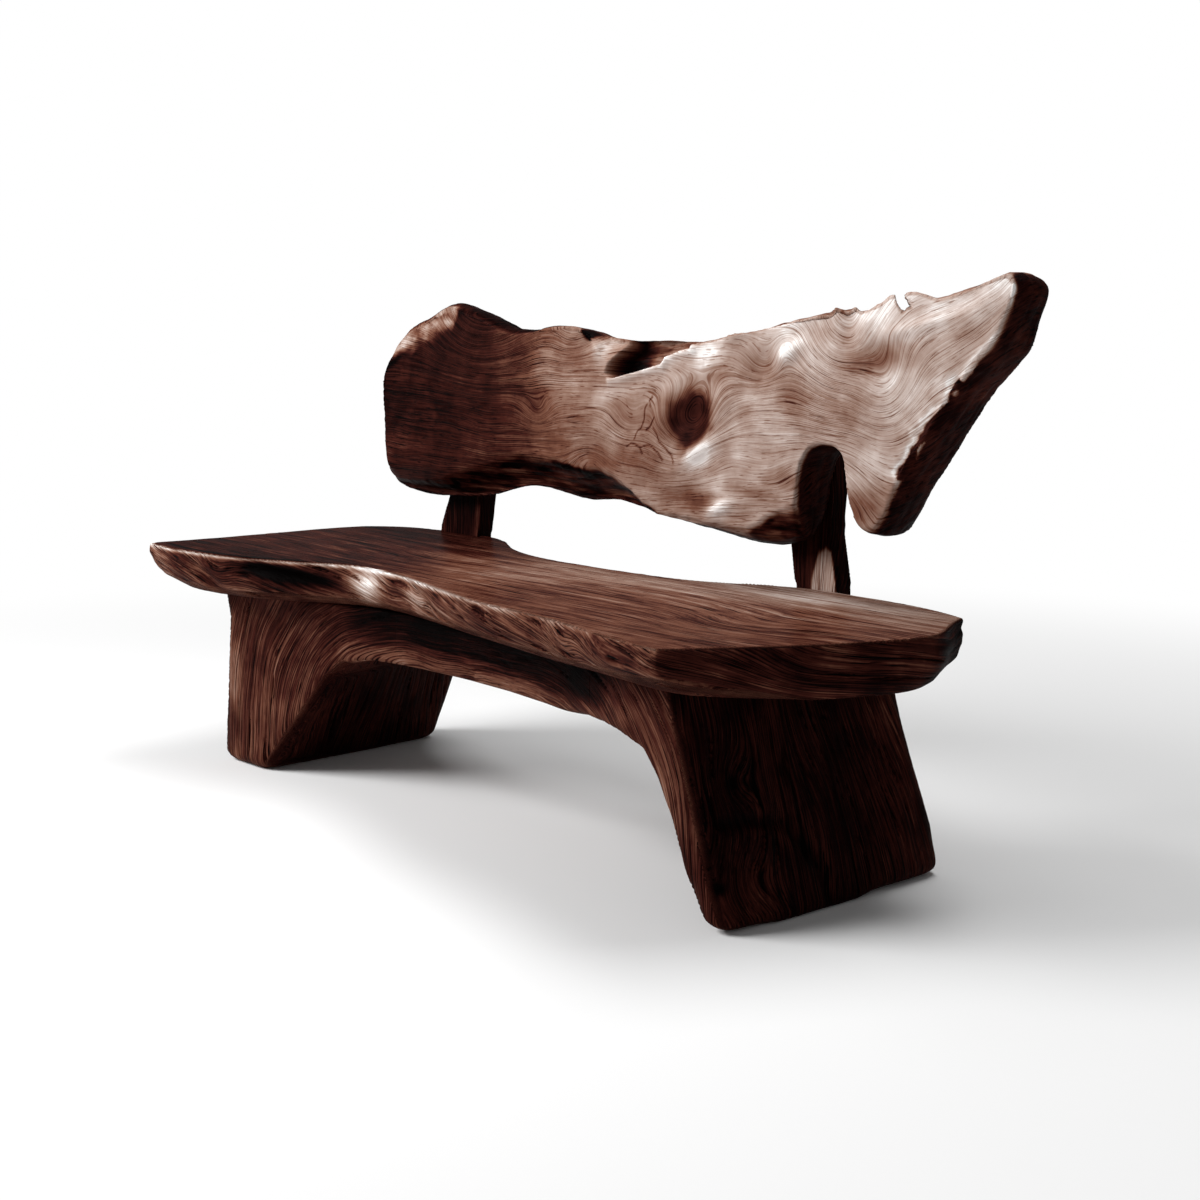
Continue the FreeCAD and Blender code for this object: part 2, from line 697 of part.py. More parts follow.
tenons, mortises = {}, {}
joints = (("left", from_left("left_leg_joint")), ("right", from_right("right_leg_joint")))
for side, joint in joints:
    tenons[side] = make_tenon_box(f"{side}_tenon", joint, "0")
    tenons[side].Label = f"{side}_tenon"
    mortises[side] = make_tenon_box(f"{side}_mortise", joint, "Sizes.tenon_clearance")

# The housings that let the posts into the back edge of the seat.
housings = []
for side, setting in (("left", from_left), ("right", from_right)):
    box = doc.addObject("Part::Box", f"{side}_housing")
    clear = "Sizes.post_housing_clearance"
    box.setExpression("Length", f"Sizes.{side}_post_width + 2 * {clear}")
    box.setExpression("Width", "Sizes.post_housing + Sizes.post_thickness")
    box.setExpression("Height", "Sizes.seat_thickness + 2 * Sizes.overrun")
    centre = setting(side + "_post_centre")
    box.setExpression("Placement.Base.x", f"{centre} - Sizes.{side}_post_width / 2 - {clear}")
    box.setExpression("Placement.Base.y", f"{POST_FRONT} - {clear}")
    box.setExpression("Placement.Base.z", f"{LEG_TOP} - Sizes.overrun")
    housings.append(box)

doc.recompute()

left_leg = make_leg("left", from_left, "-Sizes.left_leg_rear_tuck")
right_leg = make_leg("right", from_right, "Sizes.right_leg_rear_splay")
left_post = make_post("left", from_left)
right_post = make_post("right", from_right)

pieces = [
    cut_away("seat_slab", make_seat(), seat_holes + housings),
    cut_away("left_leg", left_leg, base_holes["left"] + [mortises["left"]]),
    cut_away("right_leg", right_leg, base_holes["right"] + [mortises["right"]]),
    cut_away("bridge_beam", make_beam(), seat_holes + list(mortises.values())),
    cut_away("left_back_post", left_post, base_holes["left"] + rest_holes["left"]),
    cut_away("right_back_post", right_post, base_holes["right"] + rest_holes["right"]),
    cut_away("backrest_slab", make_rest(), rest_holes["left"] + rest_holes["right"]),
    tenons["left"],
    tenons["right"],
    *seat_kept,
    *post_kept,
]

doc.recompute()
for thing in doc.Objects:
    if "Invalid" in thing.State or "Error" in thing.State:
        raise RuntimeError(f"{thing.Label} failed: {thing.State}")
for piece in pieces:
    if piece.Shape.isNull() or not piece.Shape.isValid():
        raise RuntimeError(f"{piece.Label} has no valid shape")
    if len(piece.Shape.Solids) != 1:
        raise RuntimeError(f"{piece.Label} is {len(piece.Shape.Solids)} solids")

os.makedirs("parts", exist_ok=True)
for piece in pieces:
    piece.Shape.exportStep(f"parts/{piece.Label}.step")
    box = piece.Shape.BoundBox
    print(
        f"{piece.Label}: x {box.XMin:.1f}..{box.XMax:.1f}, y {box.YMin:.1f}..{box.YMax:.1f},"
        f" z {box.ZMin:.1f}..{box.ZMax:.1f}, {piece.Shape.Volume / 1000:.0f} cm3"
    )
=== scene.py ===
import math
from types import SimpleNamespace

import bmesh
import bpy
import numpy as np
from mathutils import Euler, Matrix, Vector


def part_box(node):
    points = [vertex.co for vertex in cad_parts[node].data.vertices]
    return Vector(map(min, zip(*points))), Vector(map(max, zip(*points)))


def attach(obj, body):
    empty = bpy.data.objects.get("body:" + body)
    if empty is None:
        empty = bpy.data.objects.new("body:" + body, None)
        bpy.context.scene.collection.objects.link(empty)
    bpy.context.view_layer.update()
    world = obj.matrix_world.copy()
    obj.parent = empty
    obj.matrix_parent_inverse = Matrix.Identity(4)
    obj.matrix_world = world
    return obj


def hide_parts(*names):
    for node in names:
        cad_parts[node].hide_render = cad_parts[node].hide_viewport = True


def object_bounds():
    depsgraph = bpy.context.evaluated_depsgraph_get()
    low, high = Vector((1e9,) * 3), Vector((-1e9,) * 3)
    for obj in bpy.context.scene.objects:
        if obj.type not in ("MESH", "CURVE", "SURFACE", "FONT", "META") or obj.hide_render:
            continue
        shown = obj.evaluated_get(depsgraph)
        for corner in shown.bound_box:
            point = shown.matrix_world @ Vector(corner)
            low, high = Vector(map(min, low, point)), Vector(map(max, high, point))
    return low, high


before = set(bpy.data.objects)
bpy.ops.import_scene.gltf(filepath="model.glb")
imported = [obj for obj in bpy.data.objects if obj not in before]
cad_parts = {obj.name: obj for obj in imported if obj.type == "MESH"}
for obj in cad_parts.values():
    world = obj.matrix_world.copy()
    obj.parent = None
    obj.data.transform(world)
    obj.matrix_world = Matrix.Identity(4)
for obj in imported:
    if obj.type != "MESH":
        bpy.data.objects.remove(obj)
cad_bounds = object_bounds()
cad_low, cad_high = np.array(cad_bounds[0]), np.array(cad_bounds[1])


# Smooth shapes in numbers.


def ease(value, low, high):
    """0 below low, 1 above high, smooth between."""
    share = np.clip((value - low) / (high - low), 0.0, 1.0)
    return share * share * (3 - 2 * share)


def bell(value, centre, width):
    """1 at the centre, falling off smoothly on both sides."""
    return np.exp(-((value - centre) / width) ** 2)


def blend(value, other, share):
    """The first value where the share is 0, the other one where it is 1."""
    return value * (1 - share) + other * share


def lattice(ix, iy, iz, seed):
    """A number from -1 to 1 that looks random, for each corner of a lattice."""
    mixed = (ix * 374761393 + iy * 668265263 + iz * 1442695041 + seed * 974711) & 0xFFFFFFFF
    mixed = ((mixed ^ (mixed >> 13)) * 1274126177) & 0xFFFFFFFF
    return ((mixed ^ (mixed >> 16)) & 0xFFFF) / 32767.5 - 1.0


# A turn for the lattice of the noise, so that its lumps aren't in line with the axes.
LATTICE_TURN = np.array(Euler((0.7, 0.4, 0.9)).to_matrix())


def noise(points, sizes, seed=0, octaves=1):
    """Smooth noise from -1 to 1 whose lumps have the given sizes along x, y and z."""
    total, weight = np.zeros(len(points)), 0.0
    spread = np.array(sizes, dtype=float)
    for octave in range(octaves):
        place = (points / (spread / 2 ** octave)) @ LATTICE_TURN
        cell = np.floor(place).astype(np.int64)
        part = place - cell
        part = part * part * (3 - 2 * part)
        value = np.zeros(len(points))
        for dx in (0, 1):
            for dy in (0, 1):
                for dz in (0, 1):
                    share = (
                        (part[:, 0] if dx else 1 - part[:, 0])
                        * (part[:, 1] if dy else 1 - part[:, 1])
                        * (part[:, 2] if dz else 1 - part[:, 2])
                    )
                    corner = lattice(cell[:, 0] + dx, cell[:, 1] + dy, cell[:, 2] + dz, seed + octave)
                    value += share * corner
        strength = 0.5 ** octave
        total += value * strength
        weight += strength
    return total / weight


def mound(a, b, centre_a, centre_b, reach_a, reach_b, turn=0.0):
    """A round hill of height 1 in the plane of a and b, turned by some degrees."""
    angle = math.radians(turn)
    along = (a - centre_a) * math.cos(angle) + (b - centre_b) * math.sin(angle)
    across = (b - centre_b) * math.cos(angle) - (a - centre_a) * math.sin(angle)
    return np.exp(-((along / reach_a) ** 2) - (across / reach_b) ** 2)


def with_hills(start, a, b, hills, share=1.0):
    """Adds hills in the plane of a and b: centre, the two reaches, height and turn of each."""
    total = start
    for centre_a, centre_b, reach_a, reach_b, height, turn in hills:
        total = total + height * mound(a, b, centre_a, centre_b, reach_a, reach_b, turn) * share
    return total


def inside(a, b, corners):
    """Which places lie inside a closed outline in the plane of a and b."""
    found = np.zeros(len(a), dtype=bool)
    for (a0, b0), (a1, b1) in zip(corners, corners[1:] + corners[:1]):
        if b0 == b1:
            continue
        crosses = (b < b0) != (b < b1)
        found ^= crosses & (a < a0 + (b - b0) / (b1 - b0) * (a1 - a0))
    return found


def follow(a, points):
    """The height of a line through points, at each place along it."""
    return np.interp(a, [point[0] for point in points], [point[1] for point in points])


def line_distance(a, b, points):
    """The distance in the plane of a and b from a line through points."""
    nearest = np.full(len(a), 1e9)
    for (a0, b0), (a1, b1) in zip(points, points[1:]):
        long = (a1 - a0) ** 2 + (b1 - b0) ** 2
        share = np.clip(((a - a0) * (a1 - a0) + (b - b0) * (b1 - b0)) / long, 0, 1)
        gap = np.hypot(a - a0 - share * (a1 - a0), b - b0 - share * (b1 - b0))
        nearest = np.minimum(nearest, gap)
    return nearest


def near_line(a, b, points, width):
    """1 on a line through points, falling off smoothly beside it."""
    return bell(line_distance(a, b, points), 0.0, width)


# Fine meshes in the place of the CAD nodes.


def new_object(name, data):
    thing = bpy.data.objects.new(name, data)
    bpy.context.scene.collection.objects.link(thing)
    return thing


def evaluated(thing):
    """The mesh of an object with its modifiers applied."""
    bpy.context.view_layer.update()
    return bpy.data.meshes.new_from_object(thing.evaluated_get(bpy.context.evaluated_depsgraph_get()))


def fine_copy(name, nodes, voxel, cutter=None, added=None):
    """One closed and evenly fine mesh over some CAD nodes, less a cutter and with an added form."""
    joined = bmesh.new()
    for node in nodes:
        joined.from_mesh(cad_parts[node].data)
    bmesh.ops.remove_doubles(joined, verts=joined.verts, dist=2e-5)
    mesh = bpy.data.meshes.new(name)
    joined.to_mesh(mesh)
    joined.free()
    piece = new_object(name, mesh)
    if cutter:
        cut = piece.modifiers.new("cut", "BOOLEAN")
        cut.operation = "DIFFERENCE"
        cut.solver = "EXACT"
        cut.object = cutter
        piece.data = evaluated(piece)
        piece.modifiers.clear()
        bpy.data.objects.remove(cutter)
    if added:
        both = bmesh.new()
        both.from_mesh(piece.data)
        both.from_mesh(added)
        both.to_mesh(piece.data)
        both.free()
    even = piece.modifiers.new("even", "REMESH")
    even.mode = "VOXEL"
    even.voxel_size = voxel
    piece.data = evaluated(piece)
    piece.modifiers.clear()
    piece.data.name = name
    return piece


def vertex_numbers(mesh, what):
    """One row of three numbers for each vertex."""
    flat = np.empty(len(mesh.vertices) * 3)
    mesh.vertices.foreach_get(what, flat)
    return flat.reshape(-1, 3)


def put_back(mesh, points):
    """Writes the vertices, kept inside the CAD model's box."""
    kept = np.clip(points, cad_low, cad_high)
    mesh.vertices.foreach_set("co", kept.reshape(-1))
    mesh.update()
    mesh.polygons.foreach_set("use_smooth", [True] * len(mesh.polygons))


def rounded_off(mesh, points, weights, rounds):
    """The points drawn towards their neighbours, which rounds edges off where the weights are high."""
    ends = np.empty(len(mesh.edges) * 2, dtype=np.int32)
    mesh.edges.foreach_get("vertices", ends)
    first, second = ends[0::2], ends[1::2]
    count = len(points)
    neighbours = np.bincount(first, minlength=count) + np.bincount(second, minlength=count)
    neighbours = np.maximum(neighbours, 1)
    pull = 0.6 * weights
    moved = points.copy()
    for _ in range(rounds):
        for axis in range(3):
            values = moved[:, axis]
            total = np.bincount(first, values[second], count) + np.bincount(second, values[first], count)
            moved[:, axis] = values + pull * (total / neighbours - values)
    return moved


def reshape(mesh, points):
    """Writes new vertices and gives them and their normals back."""
    put_back(mesh, points)
    return vertex_numbers(mesh, "co"), vertex_numbers(mesh, "normal")


def keep(mesh, **values):
    """Keeps numbers on the vertices, for the wood's shader."""
    for name, numbers in values.items():
        layer = mesh.attributes.new(name, "FLOAT", "POINT")
        layer.data.foreach_set("value", np.asarray(numbers, dtype=np.float32))


# The wood. Each fine mesh carries the place across the grain, the place along it, the depth,
# the tone of the wood, from black through brown to worn white, with painted highlights and painted shade
# in it, and how strongly it is lined.
# The shader adds the bands, streaks, growth lines, pores and cracks.

WOOD_TONES = (
    (0.00, (0.0008, 0.0002, 0.0002)),
    (0.15, (0.0095, 0.0016, 0.0013)),
    (0.33, (0.046, 0.0105, 0.0072)),
    (0.5, (0.15, 0.06, 0.037)),
    (0.66, (0.275, 0.17, 0.13)),
    (0.8, (0.43, 0.325, 0.28)),
    (0.92, (0.6, 0.51, 0.47)),
    (1.00, (0.85, 0.81, 0.785)),
)
GRAIN_WANDER = 0.012
BUMP_HEIGHT = 0.0012


class Graph:
    """A material and short ways to add nodes to it."""

    def __init__(self, name):
        self.material = bpy.data.materials.new(name)
        self.material.use_nodes = True
        self.tree = self.material.node_tree
        self.shader = self.tree.nodes["Principled BSDF"]

    def feed(self, socket, value):
        if isinstance(value, bpy.types.NodeSocket):
            self.tree.links.new(value, socket)
        else:
            socket.default_value = value

    def math(self, operation, a, b=0.0, c=0.0):
        node = self.tree.nodes.new("ShaderNodeMath")
        node.operation = operation
        for socket, value in zip(node.inputs, (a, b, c)):
            self.feed(socket, value)
        return node.outputs[0]

    def add(self, *terms):
        total = terms[0]
        for term in terms[1:]:
            total = self.math("ADD", total, term)
        return total

    def times(self, a, b):
        return self.math("MULTIPLY", a, b)

    def centred(self, value, depth):
        """A texture from 0 to 1 as a change of tone up and down."""
        return self.math("MULTIPLY_ADD", value, depth, -0.5 * depth)

    def reading(self, name):
        node = self.tree.nodes.new("ShaderNodeAttribute")
        node.attribute_name = name
        return node.outputs["Fac"]

    def vector(self, x, y, z):
        node = self.tree.nodes.new("ShaderNodeCombineXYZ")
        for socket, value in zip(node.inputs, (x, y, z)):
            self.feed(socket, value)
        return node.outputs[0]

    def noise(self, vector, scale=1.0, detail=3.0, roughness=0.5):
        node = self.tree.nodes.new("ShaderNodeTexNoise")
        self.feed(node.inputs["Vector"], vector)
        node.inputs["Scale"].default_value = scale
        node.inputs["Detail"].default_value = detail
        node.inputs["Roughness"].default_value = roughness
        return node.outputs["Fac"]

    def smooth(self, value, low, high, start=0.0, end=1.0):
        node = self.tree.nodes.new("ShaderNodeMapRange")
        node.interpolation_type = "SMOOTHSTEP"
        self.feed(node.inputs["Value"], value)
        for label, number in (("From Min", low), ("From Max", high), ("To Min", start), ("To Max", end)):
            node.inputs[label].default_value = number
        return node.outputs["Result"]

    def ramp(self, value, stops):
        node = self.tree.nodes.new("ShaderNodeValToRGB")
        elements = node.color_ramp.elements
        while len(elements) < len(stops):
            elements.new(0.5)
        for element, (place, colour) in zip(elements, stops):
            element.position = place
            element.color = (*colour, 1.0)
        self.feed(node.inputs[0], value)
        return node.outputs[0]

    def place(self):
        coordinates = self.tree.nodes.new("ShaderNodeTexCoord")
        return coordinates.outputs["Object"]


def wood(name, rough, shine, relief, lines, line, band, streak, blotch, split):
    """Oiled solid wood, with so many growth lines in a metre.

    The last five numbers are how deep each kind of mark goes in tone.
    """
    g = Graph(name)
    along, deep = g.reading("along"), g.reading("deep")
    straight = g.reading("across")
    waves = g.vector(g.times(along, 5.0), g.times(straight, 9.0), g.times(deep, 9.0))
    wander = g.noise(waves, 1.0, 2.0)
    across = g.add(straight, g.centred(wander, GRAIN_WANDER))

    def grained(by_along, by_across, by_deep, detail, roughness=0.55):
        where = g.vector(g.times(along, by_along), g.times(across, by_across), g.times(deep, by_deep))
        return g.noise(where, 1.0, detail, roughness)

    bands = grained(1.6, 34.0, 9.0, 3.0)
    streaks = grained(5.0, 0.8 * lines, 30.0, 3.0, 0.65)
    fibres = grained(16.0, 400.0, 80.0, 2.0)
    pores = g.smooth(grained(40.0, 480.0, 110.0, 1.0), 0.61, 0.71)
    trembling = g.add(g.times(across, lines), g.centred(grained(14.0, 60.0, 30.0, 2.0), 1.1))
    ring = g.smooth(g.math("PINGPONG", trembling, 0.5), 0.0, 0.16, 1.0, 0.0)
    ring = g.times(ring, g.smooth(grained(4.0, lines * 0.3, 8.0, 3.0), 0.42, 0.62, 0.04, 1.0))
    lined = g.reading("lined")
    ring = g.times(ring, lined)
    streak_share = g.add(g.times(lined, 0.6), 0.4)
    threads = g.smooth(grained(4.0, 1.1 * lines, 40.0, 3.0, 0.6), 0.56, 0.66)
    splits = g.times(g.smooth(grained(9.0, 230.0, 30.0, 2.0), 0.63, 0.68), g.smooth(wander, 0.42, 0.56))
    blotches = g.noise(g.place(), 13.0, 5.0, 0.6)
    tone = g.add(
        g.reading("tone"), g.centred(bands, band), g.times(g.centred(streaks, streak), streak_share),
        g.centred(fibres, streak * 0.8), g.centred(blotches, blotch), g.times(ring, -line),
        g.times(pores, -0.4 * line), g.times(splits, -split), g.times(threads, -0.4 * streak),
    )
    g.feed(g.shader.inputs["Base Color"], g.ramp(tone, WOOD_TONES))
    g.feed(g.shader.inputs["Roughness"], g.add(g.centred(fibres, 0.2), g.centred(blotches, 0.2), rough))
    g.shader.inputs["Specular IOR Level"].default_value = shine
    height = g.add(
        g.times(streaks, 0.6), g.times(bands, 0.5), g.times(ring, -0.5), g.times(threads, -0.5),
        g.times(pores, -0.5), g.times(splits, -1.3),
    )
    bump = g.tree.nodes.new("ShaderNodeBump")
    bump.inputs["Strength"].default_value = relief
    bump.inputs["Distance"].default_value = BUMP_HEIGHT
    g.feed(bump.inputs["Height"], height)
    g.feed(g.shader.inputs["Normal"], bump.outputs[0])
    return g.material


def steel(name):
    """Dark dull steel of the bolts and washers."""
    g = Graph(name)
    streaks = g.noise(g.place(), 900.0, 3.0)
    patches = g.noise(g.place(), 120.0, 3.0)
    greys = ((0.35, (0.035, 0.032, 0.03)), (0.7, (0.1, 0.09, 0.082)))
    g.feed(g.shader.inputs["Base Color"], g.ramp(patches, greys))
    g.shader.inputs["Metallic"].default_value = 1.0
    g.feed(g.shader.inputs["Roughness"], g.add(0.32, g.times(streaks, 0.25)))
    return g.material


def sawn_wood(name):
    """Plain sawn wood of the hidden tenons."""
    g = Graph(name)
    parts = g.tree.nodes.new("ShaderNodeSeparateXYZ")
    g.tree.links.new(g.place(), parts.inputs[0])
    x, y, z = parts.outputs
    fibres = g.noise(g.vector(g.times(x, 300.0), g.times(y, 300.0), g.times(z, 20.0)), 1.0, 3.0)
    browns = ((0.3, (0.2, 0.12, 0.07)), (0.7, (0.45, 0.33, 0.22)))
    g.feed(g.shader.inputs["Base Color"], g.ramp(fibres, browns))
    g.feed(g.shader.inputs["Roughness"], g.add(0.5, g.times(fibres, 0.3)))
    return g.material


rest_wood = wood(
    "backrest_wood", rough=0.46, shine=0.012, relief=0.5, lines=240.0,
    line=0.36, band=0.14, streak=0.34, blotch=0.42, split=0.24,
)
seat_wood = wood(
    "seat_wood", rough=0.26, shine=0.003, relief=0.3, lines=100.0,
    line=0.2, band=0.24, streak=0.48, blotch=0.2, split=0.45,
)
edge_wood = wood(
    "seat_edge_wood", rough=0.6, shine=0.012, relief=0.95, lines=280.0,
    line=0.34, band=0.18, streak=0.5, blotch=0.4, split=0.5,
)
base_wood = wood(
    "base_wood", rough=0.55, shine=0.01, relief=0.95, lines=280.0,
    line=0.32, band=0.1, streak=0.44, blotch=0.28, split=0.46,
)
post_wood = wood(
    "post_wood", rough=0.55, shine=0.012, relief=0.7, lines=280.0,
    line=0.2, band=0.2, streak=0.5, blotch=0.2, split=0.35,
)
tenon_wood = sawn_wood("tenon_wood")
bolt_steel = steel("fastener_steel")


def finish_piece(piece, materials, slot, *nodes):
    """Gives a piece its materials and puts it in the place of its CAD nodes."""
    piece.data.materials.clear()
    for material in materials:
        piece.data.materials.append(material)
    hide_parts(*nodes)
    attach(piece, "root")


# The backrest, worked on in its own slab's directions: along, up the slope, and depth,
# which grows from the back to the front.

REST_VOXEL = 0.0026
LEAN = math.radians(6)
REST_ALONG = Vector((1.0, 0.0, 0.0))
REST_UP = Vector((0.0, math.sin(LEAN), math.cos(LEAN)))
REST_FRONT = Vector((0.0, -math.cos(LEAN), math.sin(LEAN)))
REST_THICKNESS = 0.085
REST_CORNER = Vector((-0.7825, 0.2606, 0.491))

# The torn crest with its hook, from left to right.
CREST = [
    (1.262, 0.364), (1.274, 0.372), (1.298, 0.366), (1.316, 0.372), (1.33, 0.364), (1.348, 0.367),
    (1.37, 0.378), (1.384, 0.387), (1.395, 0.39), (1.4, 0.378), (1.409, 0.369), (1.419, 0.362),
    (1.426, 0.371), (1.44, 0.371), (1.428, 0.38), (1.415, 0.391), (1.423, 0.394), (1.438, 0.394),
    (1.456, 0.39), (1.481, 0.383), (1.504, 0.388), (1.549, 0.401),
]
CREST_LEFT, CREST_RIGHT = CREST[0][0], CREST[-1][0]
CREST_FOOT, CREST_SKY = 0.33, 0.47
CREST_DEPTH = 0.022
# The tear runs back through the slab on a slant: how far along and up in one of depth.
TEAR_LEAN = (0.92, -0.1)

REST_TOP_LINE = (
    (0.0, 0.23), (0.12, 0.34), (0.27, 0.375), (0.42, 0.335), (0.56, 0.34), (0.7, 0.32), (0.95, 0.32),
    (1.1, 0.35), (1.3, 0.375), (1.45, 0.39), (1.62, 0.425),
)
BEVEL_LINE = (
    (0.00, 0.02), (0.1, 0.03), (0.239, 0.041), (0.305, 0.061), (0.369, 0.078), (0.458, 0.095),
    (0.494, 0.104), (0.571, 0.105), (0.646, 0.097), (0.732, 0.093), (0.791, 0.074), (0.849, 0.046),
    (0.904, 0.03), (1.006, 0.024), (1.116, 0.019), (1.186, 0.055), (1.23, 0.062), (1.3, 0.00),
)
FACET_LINE = (
    (0.00, 0.245), (0.03, 0.259), (0.084, 0.274), (0.136, 0.289), (0.197, 0.304), (0.237, 0.322),
    (0.262, 0.362), (0.28, 0.42),
)
BEVEL_SLOPE, BEVEL_MOST = 0.62, 0.034
FACET_SLOPE, FACET_SOFT, FACET_MOST = 0.22, 0.02, 0.009
HOLLOW = [
    (0.722, 0.258), (0.743, 0.247), (0.815, 0.262), (0.879, 0.276), (0.888, 0.288), (0.918, 0.298),
    (0.95, 0.303), (0.955, 0.345), (0.75, 0.345), (0.746, 0.305), (0.728, 0.28),
]
HOLLOW_DEPTH = 0.042
RIDGE = HOLLOW[1:7]
RIGHT_EDGE = ((1.43, 0.125), (1.496, 0.224), (1.553, 0.298), (1.62, 0.362), (1.63, 0.41))
# The knot hole under the top edge: centre and the two reaches.
KNOT_HOLE = (0.66, 0.328, 0.016, 0.012)
TOP_DENTS = (0.4, 0.5, 0.68)
CRACK_WIDTH = 0.0014
CRACKS = (
    ((0.846, 0.208), (0.842, 0.196), (0.838, 0.178), (0.829, 0.16), (0.822, 0.146)),
    ((0.868, 0.186), (0.861, 0.176), (0.848, 0.164)),
    ((0.866, 0.17), (0.878, 0.158), (0.884, 0.146), (0.9, 0.136), (0.918, 0.124), (0.925, 0.112)),
    ((0.8, 0.136), (0.822, 0.14), (0.838, 0.134), (0.862, 0.138), (0.884, 0.128), (0.896, 0.116)),
    ((0.838, 0.134), (0.848, 0.122)),
    ((0.858, 0.222), (0.852, 0.214), (0.856, 0.205)),
)
# Bumps and dips of the face: centre, the two reaches, height and turn.
REST_BUMPS = (
    (0.955, 0.184, 0.052, 0.044, -0.01, 30), (0.985, 0.134, 0.044, 0.017, 0.014, 25),
    (0.895, 0.205, 0.02, 0.045, 0.006, -20), (1.03, 0.215, 0.03, 0.05, 0.006, -30),
    (1.118, 0.277, 0.034, 0.026, -0.008, 10), (1.18, 0.302, 0.026, 0.014, 0.008, 25),
    (1.055, 0.332, 0.03, 0.012, 0.006, 10), (1.367, 0.3, 0.05, 0.03, -0.005, 0),
    (1.3, 0.33, 0.02, 0.04, -0.005, 10), (1.345, 0.35, 0.02, 0.03, 0.006, 10),
    (1.05, 0.044, 0.034, 0.013, 0.01, 20), (0.96, 0.06, 0.05, 0.02, -0.006, 10),
    (0.84, 0.11, 0.05, 0.035, 0.005, 0), (0.66, 0.17, 0.09, 0.05, 0.005, 0),
    (0.12, 0.295, 0.036, 0.012, -0.006, 20), (0.21, 0.355, 0.02, 0.02, 0.005, 0),
    (0.662, 0.328, 0.014, 0.011, -0.018, 0), (0.69, 0.305, 0.018, 0.03, 0.007, 0),
    (1.45, 0.345, 0.09, 0.012, 0.006, 12), (1.56, 0.37, 0.05, 0.02, 0.004, 30),
)
# Places where the grain bends aside: centre, the two reaches, how far, and turn.
REST_SWIRLS = (
    (0.345, 0.42, 0.13, 0.12, 0.23, 0), (0.955, 0.18, 0.085, 0.06, 0.115, 30),
    (1.3, 0.33, 0.085, 0.11, 0.105, 0), (1.118, 0.277, 0.06, 0.045, 0.04, 20),
    (0.62, 0.35, 0.06, 0.07, 0.05, 0), (1.4, 0.25, 0.06, 0.07, 0.09, 0),
    (0.8, 0.17, 0.06, 0.045, 0.034, 0), (1.18, 0.31, 0.03, 0.03, -0.022, 0),
    (0.7, 0.11, 0.06, 0.03, -0.03, 0), (1.06, 0.13, 0.08, 0.03, -0.018, 0),
    (1.24, 0.12, 0.06, 0.04, -0.03, 0), (0.54, 0.18, 0.05, 0.03, 0.03, 0),
)
# Dark and pale patches of the face, the pale ones on the bumps and along the top edge being painted
# highlights: centre, the two reaches, change of tone and turn.
REST_PATCHES_AND_HIGHLIGHTS = (
    (0.925, 0.172, 0.06, 0.055, -0.14, 30), (1.118, 0.277, 0.04, 0.03, -0.2, 10),
    (1.367, 0.3, 0.06, 0.028, -0.24, 5), (1.31, 0.215, 0.06, 0.035, -0.13, 0),
    (1.345, 0.075, 0.045, 0.035, -0.16, 0), (1.000, 0.055, 0.08, 0.016, -0.28, 0),
    (0.76, 0.11, 0.11, 0.03, -0.18, -10), (1.02, 0.26, 0.06, 0.022, -0.12, 25),
    (0.83, 0.175, 0.04, 0.035, -0.08, 0), (1.2, 0.1, 0.07, 0.018, -0.12, 10),
    (0.64, 0.29, 0.05, 0.035, -0.12, 20), (0.705, 0.3, 0.02, 0.03, 0.26, 10),
    (0.6, 0.345, 0.04, 0.014, 0.12, 10), (0.56, 0.36, 0.06, 0.014, 0.22, 5),
    (0.992, 0.128, 0.042, 0.02, 0.5, 28), (1.178, 0.303, 0.022, 0.012, 0.26, 25),
    (1.05, 0.044, 0.034, 0.014, 0.42, 20), (0.985, 0.3, 0.04, 0.022, 0.26, 20),
    (1.39, 0.075, 0.04, 0.04, -0.2, 0), (1.13, 0.075, 0.06, 0.012, -0.2, -8),
    (1.45, 0.345, 0.1, 0.02, 0.1, 12), (0.61, 0.25, 0.07, 0.07, 0.06, 0),
    (0.76, 0.225, 0.06, 0.016, 0.1, 10), (0.23, 0.14, 0.12, 0.03, 0.05, 0),
    (1.455, 0.075, 0.02, 0.05, -0.1, 0), (0.25, 0.372, 0.03, 0.014, -0.18, 0),
    (0.03, 0.262, 0.05, 0.006, -0.25, 25),
)


def slanted_slab(name, outline, low, high):
    """A closed mesh with an outline along and up the backrest, from one depth to another.

    The outline moves with the tear's lean as the depth grows.
    """
    shape = bmesh.new()
    rings = []
    for depth in (low, high):
        ring = []
        for a, b in outline:
            along = REST_ALONG * (a + TEAR_LEAN[0] * (depth - high))
            up = REST_UP * (b + TEAR_LEAN[1] * (depth - high))
            ring.append(shape.verts.new(REST_CORNER + along + up + REST_FRONT * depth))
        rings.append(ring)
    shape.faces.new(rings[0])
    shape.faces.new(rings[1][::-1])
    for this in range(len(outline)):
        after = (this + 1) % len(outline)
        shape.faces.new((rings[0][this], rings[1][this], rings[1][after], rings[0][after]))
    bmesh.ops.recalc_face_normals(shape, faces=shape.faces)
    mesh = bpy.data.meshes.new(name)
    shape.to_mesh(mesh)
    shape.free()
    return mesh


def make_crest():
    """The cutter above the crest and the crest itself."""
    sky = CREST + [(CREST_RIGHT, CREST_SKY), (CREST_LEFT, CREST_SKY)]
    cutter = new_object("sky", slanted_slab("sky", sky, -0.03, REST_THICKNESS + 0.004))
    body = CREST + [(CREST_RIGHT, CREST_FOOT), (CREST_LEFT, CREST_FOOT)]
    return cutter, slanted_slab("crest", body, REST_THICKNESS - CREST_DEPTH, REST_THICKNESS)


